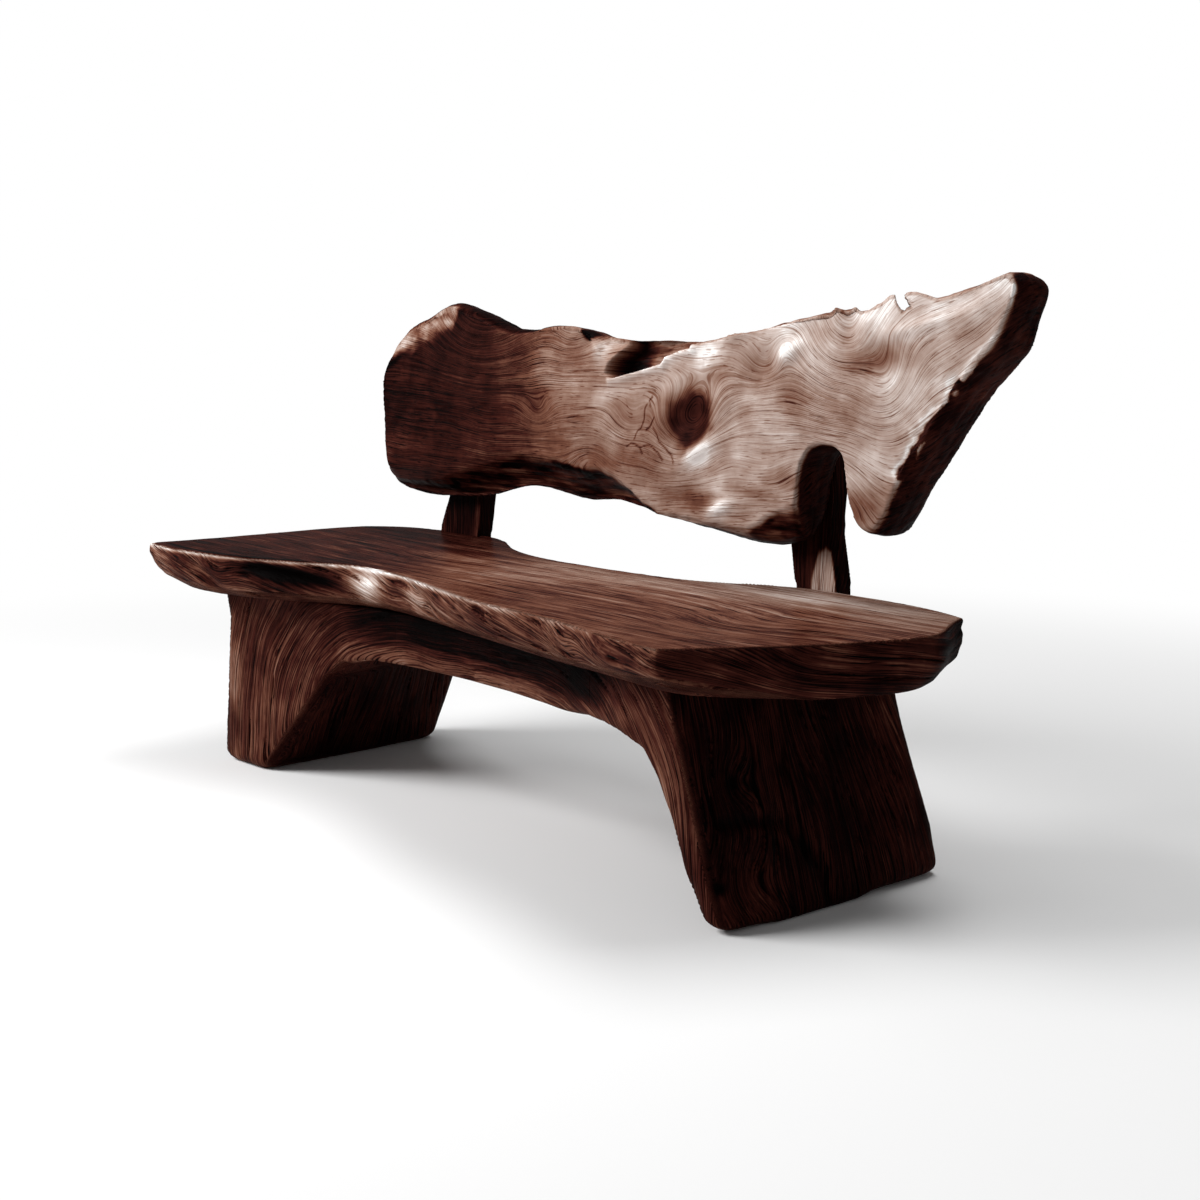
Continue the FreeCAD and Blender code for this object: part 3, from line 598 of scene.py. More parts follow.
def rest_places(mesh):
    """Where each vertex lies, which way it faces and which features it belongs to."""
    r = SimpleNamespace()
    r.points, r.normals = vertex_numbers(mesh, "co"), vertex_numbers(mesh, "normal")
    away = r.points - np.array(REST_CORNER)
    r.along, r.up, r.deep = (away @ np.array(axis) for axis in (REST_ALONG, REST_UP, REST_FRONT))
    r.local = np.stack([r.along, r.up, r.deep], axis=1)
    out_front, out_up = (r.normals @ np.array(axis) for axis in (REST_FRONT, REST_UP))
    r.front, r.back = ease(out_front, 0.15, 0.75), ease(-out_front, 0.15, 0.75)
    r.rim = 1 - np.maximum(r.front, r.back)
    r.above, r.below = ease(out_up, 0.1, 0.6), ease(-out_up, 0.1, 0.6)
    r.near_front = ease(r.deep, REST_THICKNESS - 0.03, REST_THICKNESS - 0.004)
    r.near_top = near_line(r.along, r.up, REST_TOP_LINE, 0.045)
    ragged = 0.006 * noise(r.local, (0.03, 0.022, 0.1), 10, 3)
    r.under_line = np.clip(follow(r.along, BEVEL_LINE) - r.up + ragged, 0, 0.06)
    r.over_line = np.clip(r.up - follow(r.along, FACET_LINE), 0, 0.1)
    in_hollow = inside(r.along, r.up, HOLLOW) & (r.deep > REST_THICKNESS * 0.3)
    r.hollow = in_hollow * ease(line_distance(r.along, r.up, HOLLOW + HOLLOW[:1]), 0.0, 0.009)
    r.chips = np.clip(1.8 * noise(r.local, (0.05, 0.04, 0.03), 31, 3), 0, 1)
    # How far the wood is past the change from dark heartwood to pale sapwood.
    r.share = r.along + 0.05 * noise(r.local, (0.09, 0.07, 0.1), 18, 3) + 0.25 * (r.up - 0.2)
    eye = mound(r.along, r.up, 0.957, 0.187, 0.052, 0.043, 35)
    eye += 0.1 * noise(r.local, (0.02, 0.02, 0.05), 27, 2)
    r.in_eye = ease(eye, 0.1, 0.55) * r.front
    return r


def rest_facets(r):
    """How far facets fall back from the front: bottom bevel, upper left corner and hollow."""
    bevel = np.minimum(BEVEL_SLOPE * r.under_line, BEVEL_MOST)
    facet = np.minimum(FACET_SLOPE * r.over_line ** 2 / (r.over_line + FACET_SOFT), FACET_MOST)
    rough = 0.004 * noise(r.local, (0.02, 0.012, 0.02), 9, 2)
    pushed = bevel + facet
    pushed += r.hollow * (HOLLOW_DEPTH - 0.02 * ease(r.along, 0.82, 0.93) + rough)
    return pushed * ease(r.deep, REST_THICKNESS * 0.35, REST_THICKNESS * 0.8)


def rest_waves(r):
    """How far the surface rises: slow waves, lumps, bumps of the face, fuller rims and chips."""
    along, up, local, rim = r.along, r.up, r.local, r.rim
    rise = 0.003 * noise(local, (0.22, 0.12, 0.3), 11, 2)
    rise += r.near_top * ease(along, 0.5, 0.75) * 0.0075 * noise(local, (0.075, 0.05, 0.08), 12, 2)
    rise -= r.near_top * 0.003
    rise += 0.006 * near_line(along, up, RIDGE, 0.01) * (1 - r.hollow)
    rise = with_hills(rise, along, up, REST_BUMPS)
    rise *= r.front
    rise += rim * (0.003 * noise(local, (0.05, 0.03, 0.05), 14, 3) + 0.0022)
    rise += rim * 0.0025 * (1 - ease(np.hypot(along, up), 0.1, 0.2))
    rise += rim * 0.003 * ease(along, 1.5, 1.54) * (1 - ease(up, 0.33, 0.37))
    rise += rim * 0.0035 * ease(along, 0.03, 0.08) * (1 - ease(along, 0.22, 0.28)) * ease(up, 0.23, 0.27)
    rise += rim * r.below * (0.004 * bell(along, 0.77, 0.04) - 0.0045 * bell(along, 0.89, 0.04))
    rise -= rim * 0.002 * mound(along, up, 1.345, 0.055, 0.03, 0.03)
    middle_top = rim * r.above * ease(along, 0.9, 0.95) * (1 - ease(along, 1.2, 1.25))
    rise -= middle_top * (0.0035 + 0.006 * noise(local, (0.045, 0.05, 0.05), 36, 2))
    for dent in TOP_DENTS:
        rise -= rim * r.above * 0.003 * bell(along, dent, 0.025)
    rise -= 0.007 * r.chips * near_line(along, up, RIGHT_EDGE, 0.01) * r.near_front
    scoops = np.clip(noise(local, (0.05, 0.045, 0.1), 22, 2), 0, 1)
    rise -= r.front * 0.0025 * scoops * ease(along, 0.6, 0.8)
    ragged = np.clip(noise(local, (0.15, 0.01, 0.012), 15, 2), 0, 1)
    rise -= (0.0012 * r.below + 0.005 * ease(r.under_line, 0.004, 0.02) * r.front) * ragged
    end_grooves = np.clip(noise(local, (0.03, 0.12, 0.012), 8, 2), 0, 1)
    rise -= ease(r.normals[:, 0], 0.3, 0.65) * 0.003 * end_grooves
    rise += r.back * 0.0015 * noise(local, (0.25, 0.05, 0.2), 16, 2)
    return rise


def rest_grain(r):
    """The place across the grain, which bends round the left lobe's crest, the eye and the knots."""
    along, up = r.along, r.up
    grain = with_hills(up + 0.02 * np.sin(along * 3.0), along, up, REST_SWIRLS)
    slant = ease(along - 0.66 * up, 1.2, 1.5)
    grain = blend(grain, up * 0.55 - along * 0.62 + 1.0, slant)
    return grain + 0.008 * noise(r.local, (0.12, 0.08, 0.5), 17, 2) + r.deep * 0.35


def rest_face_tone(r):
    """Dark heartwood on the left turns to pale sapwood on the right, with patches and the eye, painted
    highlights along the top edge, on the bumps, on the ridge and partly on the upper left facet, and
    painted shade on the top arris and the upward faces at the right.
    """
    along, up, local, share = r.along, r.up, r.local, r.share
    tone = 0.18 + 0.13 * ease(share, 0.16, 0.44) + 0.22 * ease(share, 0.4, 0.6)
    tone += 0.17 * ease(share, 0.53, 0.76)
    tone = tone + 0.05 * ease(share, 0.82, 1.0) + 0.06 * ease(share, 1.0, 1.45)
    # Painted highlight: paler near the top edge at the right.
    tone += 0.13 * r.near_top * ease(along, 0.92, 1.0)
    tone += 0.17 * noise(local, (0.07, 0.045, 0.06), 29, 3) * ease(share, 0.45, 0.75)
    tone += 0.09 * ease(0.15 - up, 0, 0.08) * (1 - ease(along, 0.25, 0.5))
    # The upper left facet turns pale, partly a painted highlight where the key light falls.
    facet_edge = r.over_line + 0.012 * noise(local, (0.03, 0.03, 0.05), 26, 2)
    facet = ease(facet_edge, 0.004, 0.03) * (1 - ease(along, 0.21, 0.28))
    tone = blend(tone, 0.7 + 0.46 * noise(local, (0.035, 0.018, 0.04), 21, 3), facet)
    # Patches of tone, the pale ones on the bumps and the top edge painted highlights.
    tone = with_hills(tone, along, up, REST_PATCHES_AND_HIGHLIGHTS)
    tone = blend(tone, 0.24 + 0.08 * noise(local, (0.02, 0.02, 0.05), 28, 2), r.in_eye)
    # Painted highlight along the ridge in front of the hollow.
    tone += 0.22 * near_line(along, up, RIDGE, 0.01)
    # Painted shade: the top arris in the middle and the upward faces at the right are darker, against the
    # strong top light.
    top_arris = r.near_top * r.above * r.near_front * ease(along, 0.52, 0.58)
    return tone - 0.06 * top_arris - 0.12 * r.above * ease(along, 0.9, 1.0)


def with_dark_bevel(r, tone):
    """The bevel, the hollow and the knot hole are dark: partly painted shade on the down-facing bevel, and
    painted shade in the hollow and the knot hole.
    """
    along, up, local = r.along, r.up, r.local
    # The bevel's dark tone is partly painted shade on its down-facing slope.
    bevel = ease(r.under_line, 0.003, 0.012) * ease(along, 0.16, 0.26)
    bevel = bevel * (1 - ease(along, 0.86, 0.92) + ease(along, 1.1, 1.13))
    bevel_tone = 0.22 + 0.46 * noise(local, (0.09, 0.008, 0.02), 23, 3) + 0.1 * ease(along, 1.0, 1.1)
    bevel_tone += 0.24 * mound(along, up, 0.42, 0.03, 0.12, 0.012, 12)
    tone = blend(tone, bevel_tone, bevel)
    stains = ease(noise(local, (0.045, 0.011, 0.03), 19, 3), 0.05, 0.4)
    tone -= 0.4 * stains * bell(r.under_line, 0.014, 0.016) * bevel
    # Painted shade inside the hollow, with the ledge's paler wood at its right.
    ledge_tone = 0.1 + 0.48 * ease(along + 0.4 * (up - 0.3), 0.76, 0.81)
    ledge_tone -= 0.25 * np.clip(noise(local, (0.03, 0.008, 0.02), 24, 2), 0, 1)
    in_hollow = r.hollow * ease(r.deep, REST_THICKNESS * 0.45, REST_THICKNESS * 0.7)
    tone = blend(tone, ledge_tone, in_hollow)
    # Painted shade in the knot hole.
    return tone - 0.6 * ease(mound(along, up, *KNOT_HOLE), 0.2, 0.6) * ease(r.deep, 0.045, 0.065)


def with_shaded_rims(r, tone):
    """Painted shade on the rims and the right end, which are turned from the key light, less on the rims
    that face up at the right; the left lobe's shoulder is dark.
    """
    along, up, deep, local = r.along, r.up, r.deep, r.local
    tears = 0.01 * noise(local, (0.05, 0.05, 0.06), 28, 3)
    off_front = 1 - ease(deep, REST_THICKNESS - 0.012, REST_THICKNESS - 0.005)
    off_edge = 1 - ease(deep + tears, REST_THICKNESS - 0.014, REST_THICKNESS - 0.008)
    # Painted shade on the rims and the right end, lightened where the rims face up at the right.
    rim_shade = r.rim * off_front * (1 - 0.6 * r.above * ease(along, 0.55, 0.7))
    rim_shade = np.maximum(rim_shade, ease(r.normals[:, 0], 0.38, 0.52) * off_edge)
    rim_shade = np.maximum(rim_shade, ease(r.past_edge, 0.009, 0.012) * r.upper * (1 - r.back))
    tone = blend(tone, 0.2 + 0.1 * noise(local, (0.12, 0.02, 0.02), 25, 2), rim_shade)
    shoulder = r.above * ease(along, 0.25, 0.3) * (1 - ease(along, 0.53, 0.57))
    shoulder = shoulder * (1 - ease(deep, 0.07, 0.082))
    return blend(tone, 0.12, shoulder)


def cracks_of(r):
    """1 in the cracks of the face."""
    cracks = np.zeros(len(r.along))
    jitter = 0.004 * noise(r.local, (0.018, 0.018, 0.05), 20, 2)
    for crack in CRACKS:
        cracks = np.maximum(cracks, near_line(r.along + jitter, r.up - jitter, crack, CRACK_WIDTH))
    return cracks


def rest_tone(r):
    """The tone all over the backrest."""
    edge_along = np.interp(r.up, [b for a, b in RIGHT_EDGE], [a for a, b in RIGHT_EDGE])
    r.past_edge = r.along - edge_along + 0.022 * r.chips
    r.upper = ease(r.up, 0.09, 0.13)
    tone = rest_face_tone(r)
    # A pale line where the face meets the right end, worn and partly a painted highlight on the arris.
    tone += 0.16 * bell(r.past_edge, 0.002, 0.006) * r.near_front * r.upper
    tone = with_dark_bevel(r, tone)
    tone = with_shaded_rims(r, tone)
    tone = tone * (1 - 0.35 * r.back)
    return tone - 0.32 * cracks_of(r) * r.front


def rest_lined(r):
    """How strongly the growth lines show: most in the left lobe and the middle of the sapwood."""
    along, up = r.along, r.up
    lined = 0.75 - 0.52 * ease(r.share, 0.5, 0.75) + 0.85 * mound(along, up, 0.42, 0.27, 0.2, 0.12)
    lined -= 0.35 * mound(along, up, 0.78, 0.2, 0.13, 0.12)
    lined += 0.45 * mound(along, up, 0.93, 0.15, 0.1, 0.05)
    lined += 0.55 * mound(along, up, 1.27, 0.235, 0.08, 0.07)
    lined = lined * (1 - 0.85 * ease(along - 0.66 * up, 1.12, 1.3))
    return lined * (1 - 0.9 * r.in_eye)


def make_backrest():
    cutter, crest = make_crest()
    piece = fine_copy("backrest", ["backrest_slab"], REST_VOXEL, cutter, crest)
    r = rest_places(piece.data)
    points = r.points - np.outer(rest_facets(r), np.array(REST_FRONT))
    put_back(piece.data, points + r.normals * rest_waves(r)[:, None])
    tone, lined = rest_tone(r), rest_lined(r)
    keep(piece.data, across=rest_grain(r), along=r.along, deep=r.deep, tone=tone, lined=lined)
    finish_piece(piece, [rest_wood], "backrest_wood", "backrest_slab")


# The seat.

SEAT_VOXEL = 0.003
# A pale band along the middle of the top, and a split behind its front edge.
PALE_BAND = (
    (-0.35, 0.02), (-0.14, 0.035), (0.0, 0.06), (0.143, 0.075), (0.314, 0.1), (0.416, 0.135), (0.52, 0.15),
)
EDGE_SPLIT = ((-0.8, -0.275), (-0.7, -0.284), (-0.6, -0.277), (-0.5, -0.252), (-0.42, -0.216))
# The long hollow of the front edge: centre, the two reaches and turn.
EDGE_HOLLOW = (-0.44, 0.394, 0.085, 0.014, -6)
EDGE_HOLLOW_DEPTH = 0.02
# Places where the grain of the edge and of the top bends aside.
EDGE_SWIRLS = (
    (-0.6, 0.38, 0.05, 0.05, 0.018, 0), (-0.2, 0.37, 0.05, 0.04, 0.012, 0),
    (-0.03, 0.385, 0.03, 0.02, -0.01, 0), (0.43, 0.375, 0.04, 0.04, 0.016, 0),
    (0.56, 0.375, 0.05, 0.04, 0.012, 0), (0.8, 0.38, 0.05, 0.05, 0.02, 0),
)
TOP_SWIRLS = (
    (-0.3, -0.05, 0.2, 0.08, 0.03, 0), (0.3, 0.05, 0.25, 0.08, -0.03, 10),
    (0.62, -0.1, 0.12, 0.1, 0.05, 0),
)


def round_seat(mesh, high):
    """Rounds the edges off, and the front corner at the right in plan only."""
    points, normals = vertex_numbers(mesh, "co"), vertex_numbers(mesh, "normal")
    soft = ease(high[2] - points[:, 2], 0.004, 0.016) * (1 - ease(-normals[:, 2], 0.9, 0.99))
    soft = np.maximum(soft, 0.7 * ease(-points[:, 0], 0.825, 0.845))
    points, _ = reshape(mesh, rounded_off(mesh, points, soft, 30))
    front_corner = np.clip(1.6 * mound(points[:, 0], points[:, 1], 0.695, -0.32, 0.1, 0.1), 0, 1)
    heights = points[:, 2].copy()
    points = rounded_off(mesh, points, front_corner, 220)
    points[:, 2] = heights
    return reshape(mesh, points)


def seat_places(mesh):
    """Where each vertex lies, which way it faces, and the flow of the edge's grain."""
    low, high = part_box("seat_slab")
    s = SimpleNamespace(high=high)
    s.points, s.normals = round_seat(mesh, high)
    s.x, s.y, s.z = x, y, z = s.points.T
    s.below_top, s.above_bottom = high[2] - z, z - low[2]
    s.top, s.under = ease(s.normals[:, 2], 0.5, 0.9), ease(-s.normals[:, 2], 0.7, 0.97)
    s.rim = 1 - np.maximum(s.top, s.under)
    s.front = s.rim * ease(-s.normals[:, 1], 0.0, 0.5)
    s.right_end = s.rim * ease(s.normals[:, 0], 0.2, 0.6) * ease(x, 0.6, 0.75)
    # The grain of the edge slopes down to the right and swirls.
    s.swirl = noise(s.points, (0.13, 0.13, 0.13), 30, 2)
    s.edge_grain = with_hills(z * 0.85 + (x + y * 0.5) * 0.2 + 0.004 * s.swirl, x, z, EDGE_SWIRLS)
    flow = np.stack([x * 0.9 - z * 0.3, s.edge_grain, y * 0.4], axis=1)
    s.flutes = noise(flow, (0.1, 0.01, 0.2), 32, 2)
    s.cuts = ease(noise(flow, (0.055, 0.0065, 0.2), 34, 2), 0.4, 0.62)
    s.void = s.front * mound(x, z, *EDGE_HOLLOW)
    return s


def seat_waves(s):
    """How far the surface rises: a light wave of the top, and the live edge's own forms."""
    x, y, z, rim = s.x, s.y, s.z, s.rim
    rise = 0.0004 * s.top * noise(s.points, (0.6, 0.06, 0.2), 31, 2)
    lumps = noise(s.points, (0.16, 0.16, 0.06), 33, 2)
    rise -= rim * (0.0034 * np.clip(s.flutes, -0.3, 1) + 0.004 * lumps - 0.001)
    rise += rim * 0.0025 * ease(-x, 0.78, 0.83)
    rise -= rim * 0.006 * s.cuts
    fuller_end = rim * ease(x, 0.7, 0.76) * ease(y, 0.0, 0.08)
    rise += 0.004 * fuller_end * ease(s.above_bottom, 0.01, 0.028) * ease(s.below_top, 0.012, 0.025)
    rise -= EDGE_HOLLOW_DEPTH * s.void + s.front * 0.01 * mound(x, z, -0.64, 0.378, 0.04, 0.014, -25)
    rise += s.front * 0.006 * mound(x, z, -0.27, 0.385, 0.055, 0.03, 0)
    return rise


def seat_grain(s):
    """The place across the grain, lengthways on the top and in swirls on the edge."""
    x, y = s.x, s.y
    grain = y + 0.018 * np.sin(x * 2.2 + 0.6) + 0.01 * noise(s.points, (0.5, 0.16, 0.5), 35, 2)
    grain = with_hills(grain, x, y, TOP_SWIRLS)
    return blend(grain, s.edge_grain, s.rim)


def seat_top_tone(s):
    """Brown with long streaks, darker at the left and in front, with a painted reflection darkening the
    front from the middle to the right, a pale band and a split.
    """
    x, y = s.x, s.y
    long_streaks = noise(s.points, (0.4, 0.016, 0.4), 36, 3)
    tone = 0.54 - 0.24 * ease(-x, 0.0, 0.4) + 0.03 * ease(x, 0.25, 0.55) + 0.12 * long_streaks
    tone = tone - 0.05 * ease(-y, 0.08, 0.22) - 0.1 * ease(long_streaks, 0.42, 0.62)
    tone += 0.1 * ease(y, 0.12, 0.24) * ease(x, 0.05, 0.4)
    tone = tone + 0.11 * near_line(x, y, PALE_BAND, 0.05) - 0.14 * mound(x, y, 0.6, 0.07, 0.1, 0.022)
    # Painted reflection: darker just behind the front edge from the middle to the right.
    tone -= 0.09 * ease(0.15 * x - 0.03 - y, 0.0, 0.07) * ease(x, -0.05, 0.15)
    tone = tone + 0.15 * mound(x, y, 0.52, 0.16, 0.26, 0.035) - 0.06 * mound(x, y, 0.8, -0.06, 0.1, 0.1)
    off_split = line_distance(x, y, EDGE_SPLIT) + 0.002 * s.swirl
    tone -= 0.4 * bell(off_split, 0.0, 0.0055)
    return tone - 0.1 * mound(x, y, -0.62, 0.17, 0.16, 0.06)


def seat_side_tone(s):
    """The live edge: painted highlights on two bumps in front, painted shade in its hollow, a dark right
    end in painted shade and a pale arris at the left, worn and partly a painted highlight.
    """
    x, y, z = s.x, s.y, s.z
    front = 0.34 + 0.12 * noise(s.points, (0.1, 0.1, 0.05), 37, 2)
    front = front + 0.09 * ease(x, -0.2, -0.05) - 0.05 * ease(x, 0.5, 0.62)
    front = front + 0.1 * ease(0.03 - s.above_bottom, 0, 0.02) + 0.12 * ease(-x, 0.7, 0.8)
    # Painted highlights on two bumps of the front.
    front += 0.62 * mound(x, z, -0.262, 0.394, 0.058, 0.03, 20)
    front += 0.24 * mound(x, z, -0.07, 0.385, 0.06, 0.025, 10)
    # Painted shade fills the hollow of the front edge.
    front = front - 0.5 * np.clip(s.void * 1.8, 0, 1) - 0.18 * s.cuts - 0.05 * np.clip(s.flutes, 0, 1)
    # The right end is dark as painted shade, turned from the key light.
    end = 0.26 + 0.07 * noise(s.points, (0.06, 0.06, 0.03), 39, 2)
    end = end - 0.08 * s.cuts - 0.12 * ease(y, 0.05, 0.14)
    tone = blend(front, end, s.right_end)
    # The arris is pale, worn and partly a painted highlight where it faces the key light.
    arris = bell(s.below_top, 0.003, 0.0045) * (1 - ease(s.normals[:, 2], 0.85, 0.99))
    arris = arris * ease(-s.normals[:, 1] - 0.3 * s.normals[:, 0], -0.3, 0.2)
    return tone + arris * (0.52 - 0.36 * ease(x, -0.05, 0.35)) * (1 - s.right_end)


def make_seat():
    piece = fine_copy("seat", ["seat_slab"], SEAT_VOXEL)
    mesh = piece.data
    s = seat_places(mesh)
    put_back(mesh, s.points + s.normals * seat_waves(s)[:, None])
    tone = seat_top_tone(s) * s.top + seat_side_tone(s) * s.rim + 0.3 * s.under
    along, deep = s.x + 0.3 * s.y * s.rim, s.z + 0.2 * s.y
    keep(mesh, across=seat_grain(s), along=along, deep=deep, tone=tone, lined=1 + 0.4 * s.rim)
    finish_piece(piece, [seat_wood, edge_wood], "seat_wood", "seat_slab")
    polished = np.array([p.normal.z > 0.8 and p.center.z > s.high[2] - 0.006 for p in mesh.polygons])
    mesh.polygons.foreach_set("material_index", np.where(polished, 0, 1).astype(np.int32))


# The base: the legs and the beam are carved through together, then parted at the joints.

BASE_VOXEL = 0.0036
# Where the grain of the ends turns aside, the knots there, and a fold above the foot, darkened as a
# painted shadow line.
END_SWIRLS = (
    (-0.13, 0.2, 0.04, 0.045, 0.04, 0), (-0.15, 0.065, 0.07, 0.06, 0.05, 0),
    (0.05, 0.12, 0.04, 0.12, -0.03, 0),
)
END_KNOTS = ((-0.13, 0.2), (-0.19, 0.066))
KNOT_SIZE = 0.008
FOLD = ((-0.165, 0.15), (-0.1, 0.145), (-0.05, 0.135), (0.0, 0.08), (0.02, 0.0))


def round_base(mesh):
    """Rounds off the lower edges, and the corners of the feet more than the rest."""
    points = vertex_numbers(mesh, "co")
    low_part = 1 - ease(points[:, 2], 0.27, 0.31)
    points, _ = reshape(mesh, rounded_off(mesh, points, low_part, 16))
    corners = (1 - ease(points[:, 2], 0.04, 0.08)) * ease(np.abs(points[:, 1]), 0.08, 0.14)
    corners = corners * (0.25 + 0.75 * ease(points[:, 0], 0.0, 0.5))
    points, normals = reshape(mesh, rounded_off(mesh, points, corners, 115))
    points[:, 2] -= points[:, 2].min()
    return points, normals


def base_places(mesh):
    """Where each vertex lies, which way it faces, and the flow of the grain."""
    b = SimpleNamespace()
    b.points, b.normals = round_base(mesh)
    b.x, b.y, b.z = x, y, z = b.points.T
    b.faces_end = ease(np.abs(b.normals[:, 0]), 0.45, 0.8)
    b.side = 1 - ease(np.abs(b.normals[:, 2]), 0.5, 0.9)
    # On the fronts the grain sweeps from the beam down into the legs.
    sweep = 0.55 * ((x / 0.62) ** 4 + (np.maximum(z + 0.1, 0) / 0.52) ** 4) ** 0.25 + 0.15 * y
    # On the ends it stands upright and turns round the knots.
    upright = y + 0.22 * z * ease(y, -0.05, 0.15) + 0.3
    upright = with_hills(upright, y, z, END_SWIRLS, ease(x, 0.4, 0.5))
    b.grain = blend(sweep, upright, b.faces_end) + 0.008 * noise(b.points, (0.1, 0.1, 0.2), 43, 2)
    b.along = blend(0.6 * np.arctan2(x, z + 0.3), z, b.faces_end)
    flow = np.stack([b.along, b.grain, y * 0.3], axis=1)
    b.flutes = np.clip(noise(flow, (0.14, 0.011, 0.3), 42, 2), -0.2, 1)
    b.creases = ease(noise(flow, (0.09, 0.007, 0.3), 44, 2), 0.42, 0.62)
    b.fold = near_line(y, z, FOLD, 0.01) * b.faces_end * ease(x, 0.5, 0.6)
    return b


def base_waves(b):
    """How far the surface rises: waves, flutes and creases of the carving, and fuller places."""
    x, y, z, side, normals = b.x, b.y, b.z, b.side, b.normals
    rise = 0.0026 * noise(b.points, (0.16, 0.16, 0.22), 41, 2) * side + 0.002 * side
    rise -= side * (0.0026 * b.flutes + 0.0042 * b.creases)
    rise -= 0.004 * b.fold
    under = ease(-normals[:, 2], 0.5, 0.9) * ease(z, 0.2, 0.26)
    rise += under * (0.0065 - 0.0145 * ease(x, 0.24, 0.42))
    rise -= 0.006 * mound(x, z, 0.42, 0.25, 0.07, 0.06) * ease(-normals[:, 0] - normals[:, 2], 0.6, 1.2)
    rise += 0.006 * mound(y, z, 0.19, 0.09, 0.05, 0.07) * ease(x, 0.5, 0.6) * side
    fuller_left = 0.0025 * ease(-normals[:, 0], 0.4, 0.8) * ease(-x, 0.5, 0.6)
    slimmer_right = 0.0045 * ease(-normals[:, 0], 0.2, 0.6) * ease(x, 0.3, 0.5) * ease(z, 0.08, 0.16)
    rise += fuller_left - slimmer_right
    return rise * ease(z, 0.002, 0.02)


def base_tone(b):
    """Brown fronts with painted shade under the seat, dark ends with knots, their darkness partly painted
    shade, and a painted shadow line along the fold.
    """
    x, y, z, normals = b.x, b.y, b.z, b.normals
    above_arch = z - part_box("bridge_beam")[0][2]
    spots = noise(b.points, (0.1, 0.1, 0.12), 45, 2)
    front = 0.37 + 0.09 * spots + 0.04 * b.flutes
    worn = ease(-x, 0.655, 0.69) * (1 - ease(z, 0.2, 0.27)) * ease(spots + 0.6, 0, 0.6)
    front += 0.16 * worn
    in_beam = ease(x, -0.4, -0.25) * (1 - ease(x, 0.4, 0.45))
    # Painted shade on the beam under the seat.
    front -= 0.25 * in_beam * ease(above_arch, 0.02, 0.05)
    front += 0.1 * bell(above_arch, 0.008, 0.014) * ease(x, -0.4, -0.3) * (1 - ease(x, 0.36, 0.42))
    front -= 0.03 * ease(x, 0.36, 0.48) * ease(-normals[:, 1] + 0.4 * normals[:, 0], 0.2, 0.8)
    # Painted shade at the top of the fronts, under the seat.
    front -= 0.1 * ease(z, 0.28, 0.34)
    # The ends are dark, partly as painted shade on the faces turned from the key light.
    end = 0.175 + 0.05 * noise(b.points, (0.05, 0.05, 0.25), 46, 2) + 0.03 * b.flutes
    end = end + 0.1 * mound(y, z, -0.13, 0.04, 0.08, 0.07) * ease(x, 0.5, 0.6) + 0.08 * ease(y, 0.1, 0.16)
    # The fold is darkened as a painted shadow line.
    tone = blend(front, end, b.faces_end) - 0.12 * b.creases - 0.1 * b.fold
    for knot in END_KNOTS:
        tone -= 0.3 * mound(y, z, *knot, KNOT_SIZE, KNOT_SIZE) * ease(x, 0.5, 0.6) * b.faces_end
    return tone * (1 - 0.3 * ease(normals[:, 1], 0.4, 0.8))


def cut_at(shape, limit, is_start):
    """Cuts away what lies on one side of a joint, and closes the cut."""
    everything = shape.verts[:] + shape.edges[:] + shape.faces[:]
    bmesh.ops.bisect_plane(
        shape, geom=everything, dist=1e-6, plane_co=(limit, 0, 0), plane_no=(1, 0, 0),
        clear_inner=is_start, clear_outer=not is_start,
    )
    rim = [
        edge for edge in shape.edges
        if edge.is_boundary and all(abs(vertex.co.x - limit) < 1e-5 for vertex in edge.verts)
    ]
    bmesh.ops.holes_fill(shape, edges=rim, sides=0)


def part_base(mesh):
    """The two legs and the beam, cut from the base that is carved as one."""
    left_joint, right_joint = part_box("left_leg")[1][0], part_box("right_leg")[0][0]
    for name, node, start, end in (
        ("leg_left", "left_leg", None, left_joint), ("beam", "bridge_beam", left_joint, right_joint),
        ("leg_right", "right_leg", right_joint, None),
    ):
        part = new_object(name, mesh.copy())
        part.data.name = name
        shape = bmesh.new()
        shape.from_mesh(part.data)
        if start is not None:
            cut_at(shape, start, True)
        if end is not None:
            cut_at(shape, end, False)
        shape.to_mesh(part.data)
        shape.free()
        part.data.polygons.foreach_set("use_smooth", [True] * len(part.data.polygons))
        finish_piece(part, [base_wood], "base_wood", node)


def make_base():
    whole = fine_copy("base", ["left_leg", "bridge_beam", "right_leg"], BASE_VOXEL)
    mesh = whole.data
    b = base_places(mesh)
    put_back(mesh, b.points + b.normals * base_waves(b)[:, None])
    lined = np.full(len(b.x), 1.3)
    keep(mesh, across=b.grain, along=b.along, deep=b.y, tone=base_tone(b), lined=lined)
    part_base(mesh)
    bpy.data.objects.remove(whole)


# The back posts.

POST_VOXEL = 0.002
# The pale patch at the foot of the right post: centre and the two reaches.
SAPWOOD = (0.441, 0.43, 0.034, 0.06)


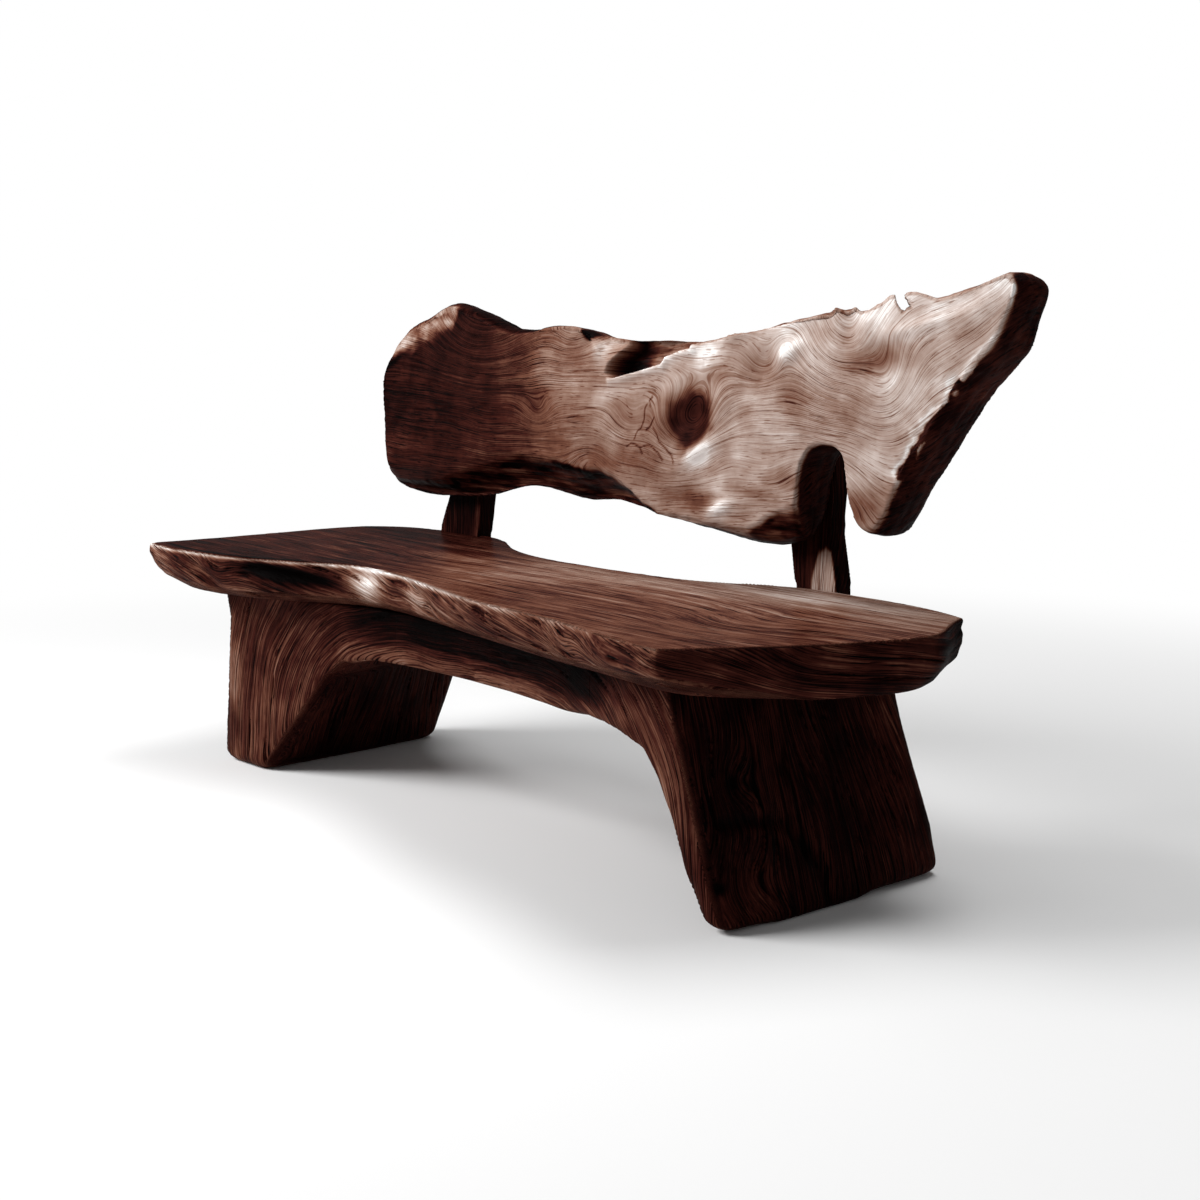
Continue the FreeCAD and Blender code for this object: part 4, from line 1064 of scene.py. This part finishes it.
def make_post(side):
    """A post with shallow grooves, fuller sides over the seat, painted shade on its sides and, on the
    right one, sapwood.
    """
    node = f"{side}_back_post"
    piece = fine_copy(f"post_{side}", [node], POST_VOXEL)
    mesh = piece.data
    points, normals = vertex_numbers(mesh, "co"), vertex_numbers(mesh, "normal")
    x, y, z = points.T
    low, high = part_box(node)
    middle = (low[0] + high[0]) / 2
    faces_front = ease(-normals[:, 1], 0.3, 0.8)
    faces_side = ease(np.abs(normals[:, 0]), 0.4, 0.8)
    grain = x + 0.6 * (y - low[1]) + 0.006 * noise(points, (0.05, 0.05, 0.12), 52, 2)
    flow = np.stack([z, grain, y * 0.3], axis=1)
    flutes = np.clip(noise(flow, (0.16, 0.008, 0.2), 51, 2), 0, 1)
    rise = -0.0016 * np.maximum(faces_front, faces_side) * flutes
    rise += 0.0022 * faces_side * ease(z, 0.424, 0.434) * (1 - ease(z, 0.52, 0.54))
    put_back(mesh, points + normals * rise[:, None])
    tone = 0.13 + 0.08 * noise(points, (0.02, 0.05, 0.3), 53, 2) + 0.04 * flutes
    if side == "right":
        spread = mound(x, z, *SAPWOOD) + 0.12 * noise(points, (0.01, 0.05, 0.05), 54)
        tone = tone + 0.08 + 0.56 * ease(spread, 0.35, 0.5) * faces_front
    else:
        tone += 0.1 * ease(np.abs(x - middle), 0.035, 0.05) * faces_front
    # Painted shade: the sides are darker than the front.
    tone = tone * (1 - 0.3 * faces_side)
    keep(mesh, across=grain, along=z, deep=y, tone=tone, lined=np.ones(len(x)))
    finish_piece(piece, [post_wood], "post_wood", node)


def colour_joinery():
    """The bolts, their washers and the tenons keep their CAD meshes and get a material."""
    for node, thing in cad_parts.items():
        if "bolt" in node:
            thing.data.materials.clear()
            thing.data.materials.append(bolt_steel)
        elif node.endswith("tenon"):
            thing.data.materials.clear()
            thing.data.materials.append(tenon_wood)


make_backrest()
make_seat()
make_base()
make_post("left")
make_post("right")
colour_joinery()


# The stage: a pale floor, soft studio light and the camera.

WHITE = (1, 1, 1, 1)
FLOOR_SIZE = 40
# The floor turns to white from the first distance to the second.
FLOOR_FADE = (0.8, 3.2)
WORLD_LIGHT = 0.16
# Name, place, target, size and power of each light.
LIGHTS = (
    ("key", (-2.2, -3.0, 3.0), (0.1, 0.0, 0.5), (2.6, 2.0), 250),
    ("top", (0.4, 0.6, 3.2), (0.1, 0.1, 0.5), (2.4, 1.2), 60),
    ("fill", (3.2, -2.6, 1.6), (0.1, 0.0, 0.4), (2.0, 2.0), 9),
)
CAMERA_PLACE = (2.661, -1.9936, 0.8705)
CAMERA_DIP, CAMERA_TURN = 8.42, 51.21
SENSOR_WIDTH, LENS = 36, 59.23


def seen_rays(tree):
    """1 for what the camera sees itself, 0 for light on its way to something else."""
    return tree.nodes.new("ShaderNodeLightPath").outputs["Is Camera Ray"]


def mix(tree, output, *share_and_shaders):
    """Leads two shaders, mixed by a share, to the output."""
    mixed = tree.nodes.new("ShaderNodeMixShader")
    for socket, value in zip(mixed.inputs, share_and_shaders):
        tree.links.new(value, socket)
    tree.links.new(mixed.outputs[0], tree.nodes[output].inputs["Surface"])


def make_floor():
    bpy.ops.mesh.primitive_plane_add(size=FLOOR_SIZE, location=(0, 0, 0))
    floor = bpy.context.object
    floor.name = "floor"
    g = Graph("floor")
    g.shader.inputs["Base Color"].default_value = (0.86, 0.86, 0.86, 1)
    g.shader.inputs["Roughness"].default_value = 0.9
    length = g.tree.nodes.new("ShaderNodeVectorMath")
    length.operation = "LENGTH"
    g.tree.links.new(g.place(), length.inputs[0])
    fade = g.times(g.smooth(length.outputs["Value"], *FLOOR_FADE), seen_rays(g.tree))
    white = g.tree.nodes.new("ShaderNodeEmission")
    white.inputs["Color"].default_value = WHITE
    mix(g.tree, "Material Output", fade, g.shader.outputs[0], white.outputs[0])
    floor.data.materials.append(g.material)


def make_light(name, place, target, size, power):
    lamp = bpy.data.lights.new(name, "AREA")
    lamp.shape = "RECTANGLE"
    lamp.size, lamp.size_y = size
    lamp.energy = power
    thing = new_object(name, lamp)
    thing.location = place
    thing.rotation_euler = (Vector(target) - Vector(place)).to_track_quat("-Z", "Y").to_euler()


def make_world():
    """White where the camera sees it, and only a little light for the bench."""
    world = bpy.data.worlds.new("studio")
    bpy.context.scene.world = world
    world.use_nodes = True
    tree = world.node_tree
    soft = tree.nodes["Background"]
    soft.inputs["Color"].default_value = WHITE
    soft.inputs["Strength"].default_value = WORLD_LIGHT
    seen = tree.nodes.new("ShaderNodeBackground")
    seen.inputs["Color"].default_value = WHITE
    mix(tree, "World Output", seen_rays(tree), soft.outputs[0], seen.outputs[0])


def make_camera():
    lens = bpy.data.cameras.new("camera")
    lens.sensor_width = SENSOR_WIDTH
    lens.lens = LENS
    camera = new_object("camera", lens)
    camera.location = CAMERA_PLACE
    camera.rotation_euler = (math.radians(90 - CAMERA_DIP), 0, math.radians(CAMERA_TURN))
    bpy.context.scene.camera = camera


make_floor()
make_world()
for light in LIGHTS:
    make_light(*light)
make_camera()
bpy.context.scene.view_settings.view_transform = "Standard"
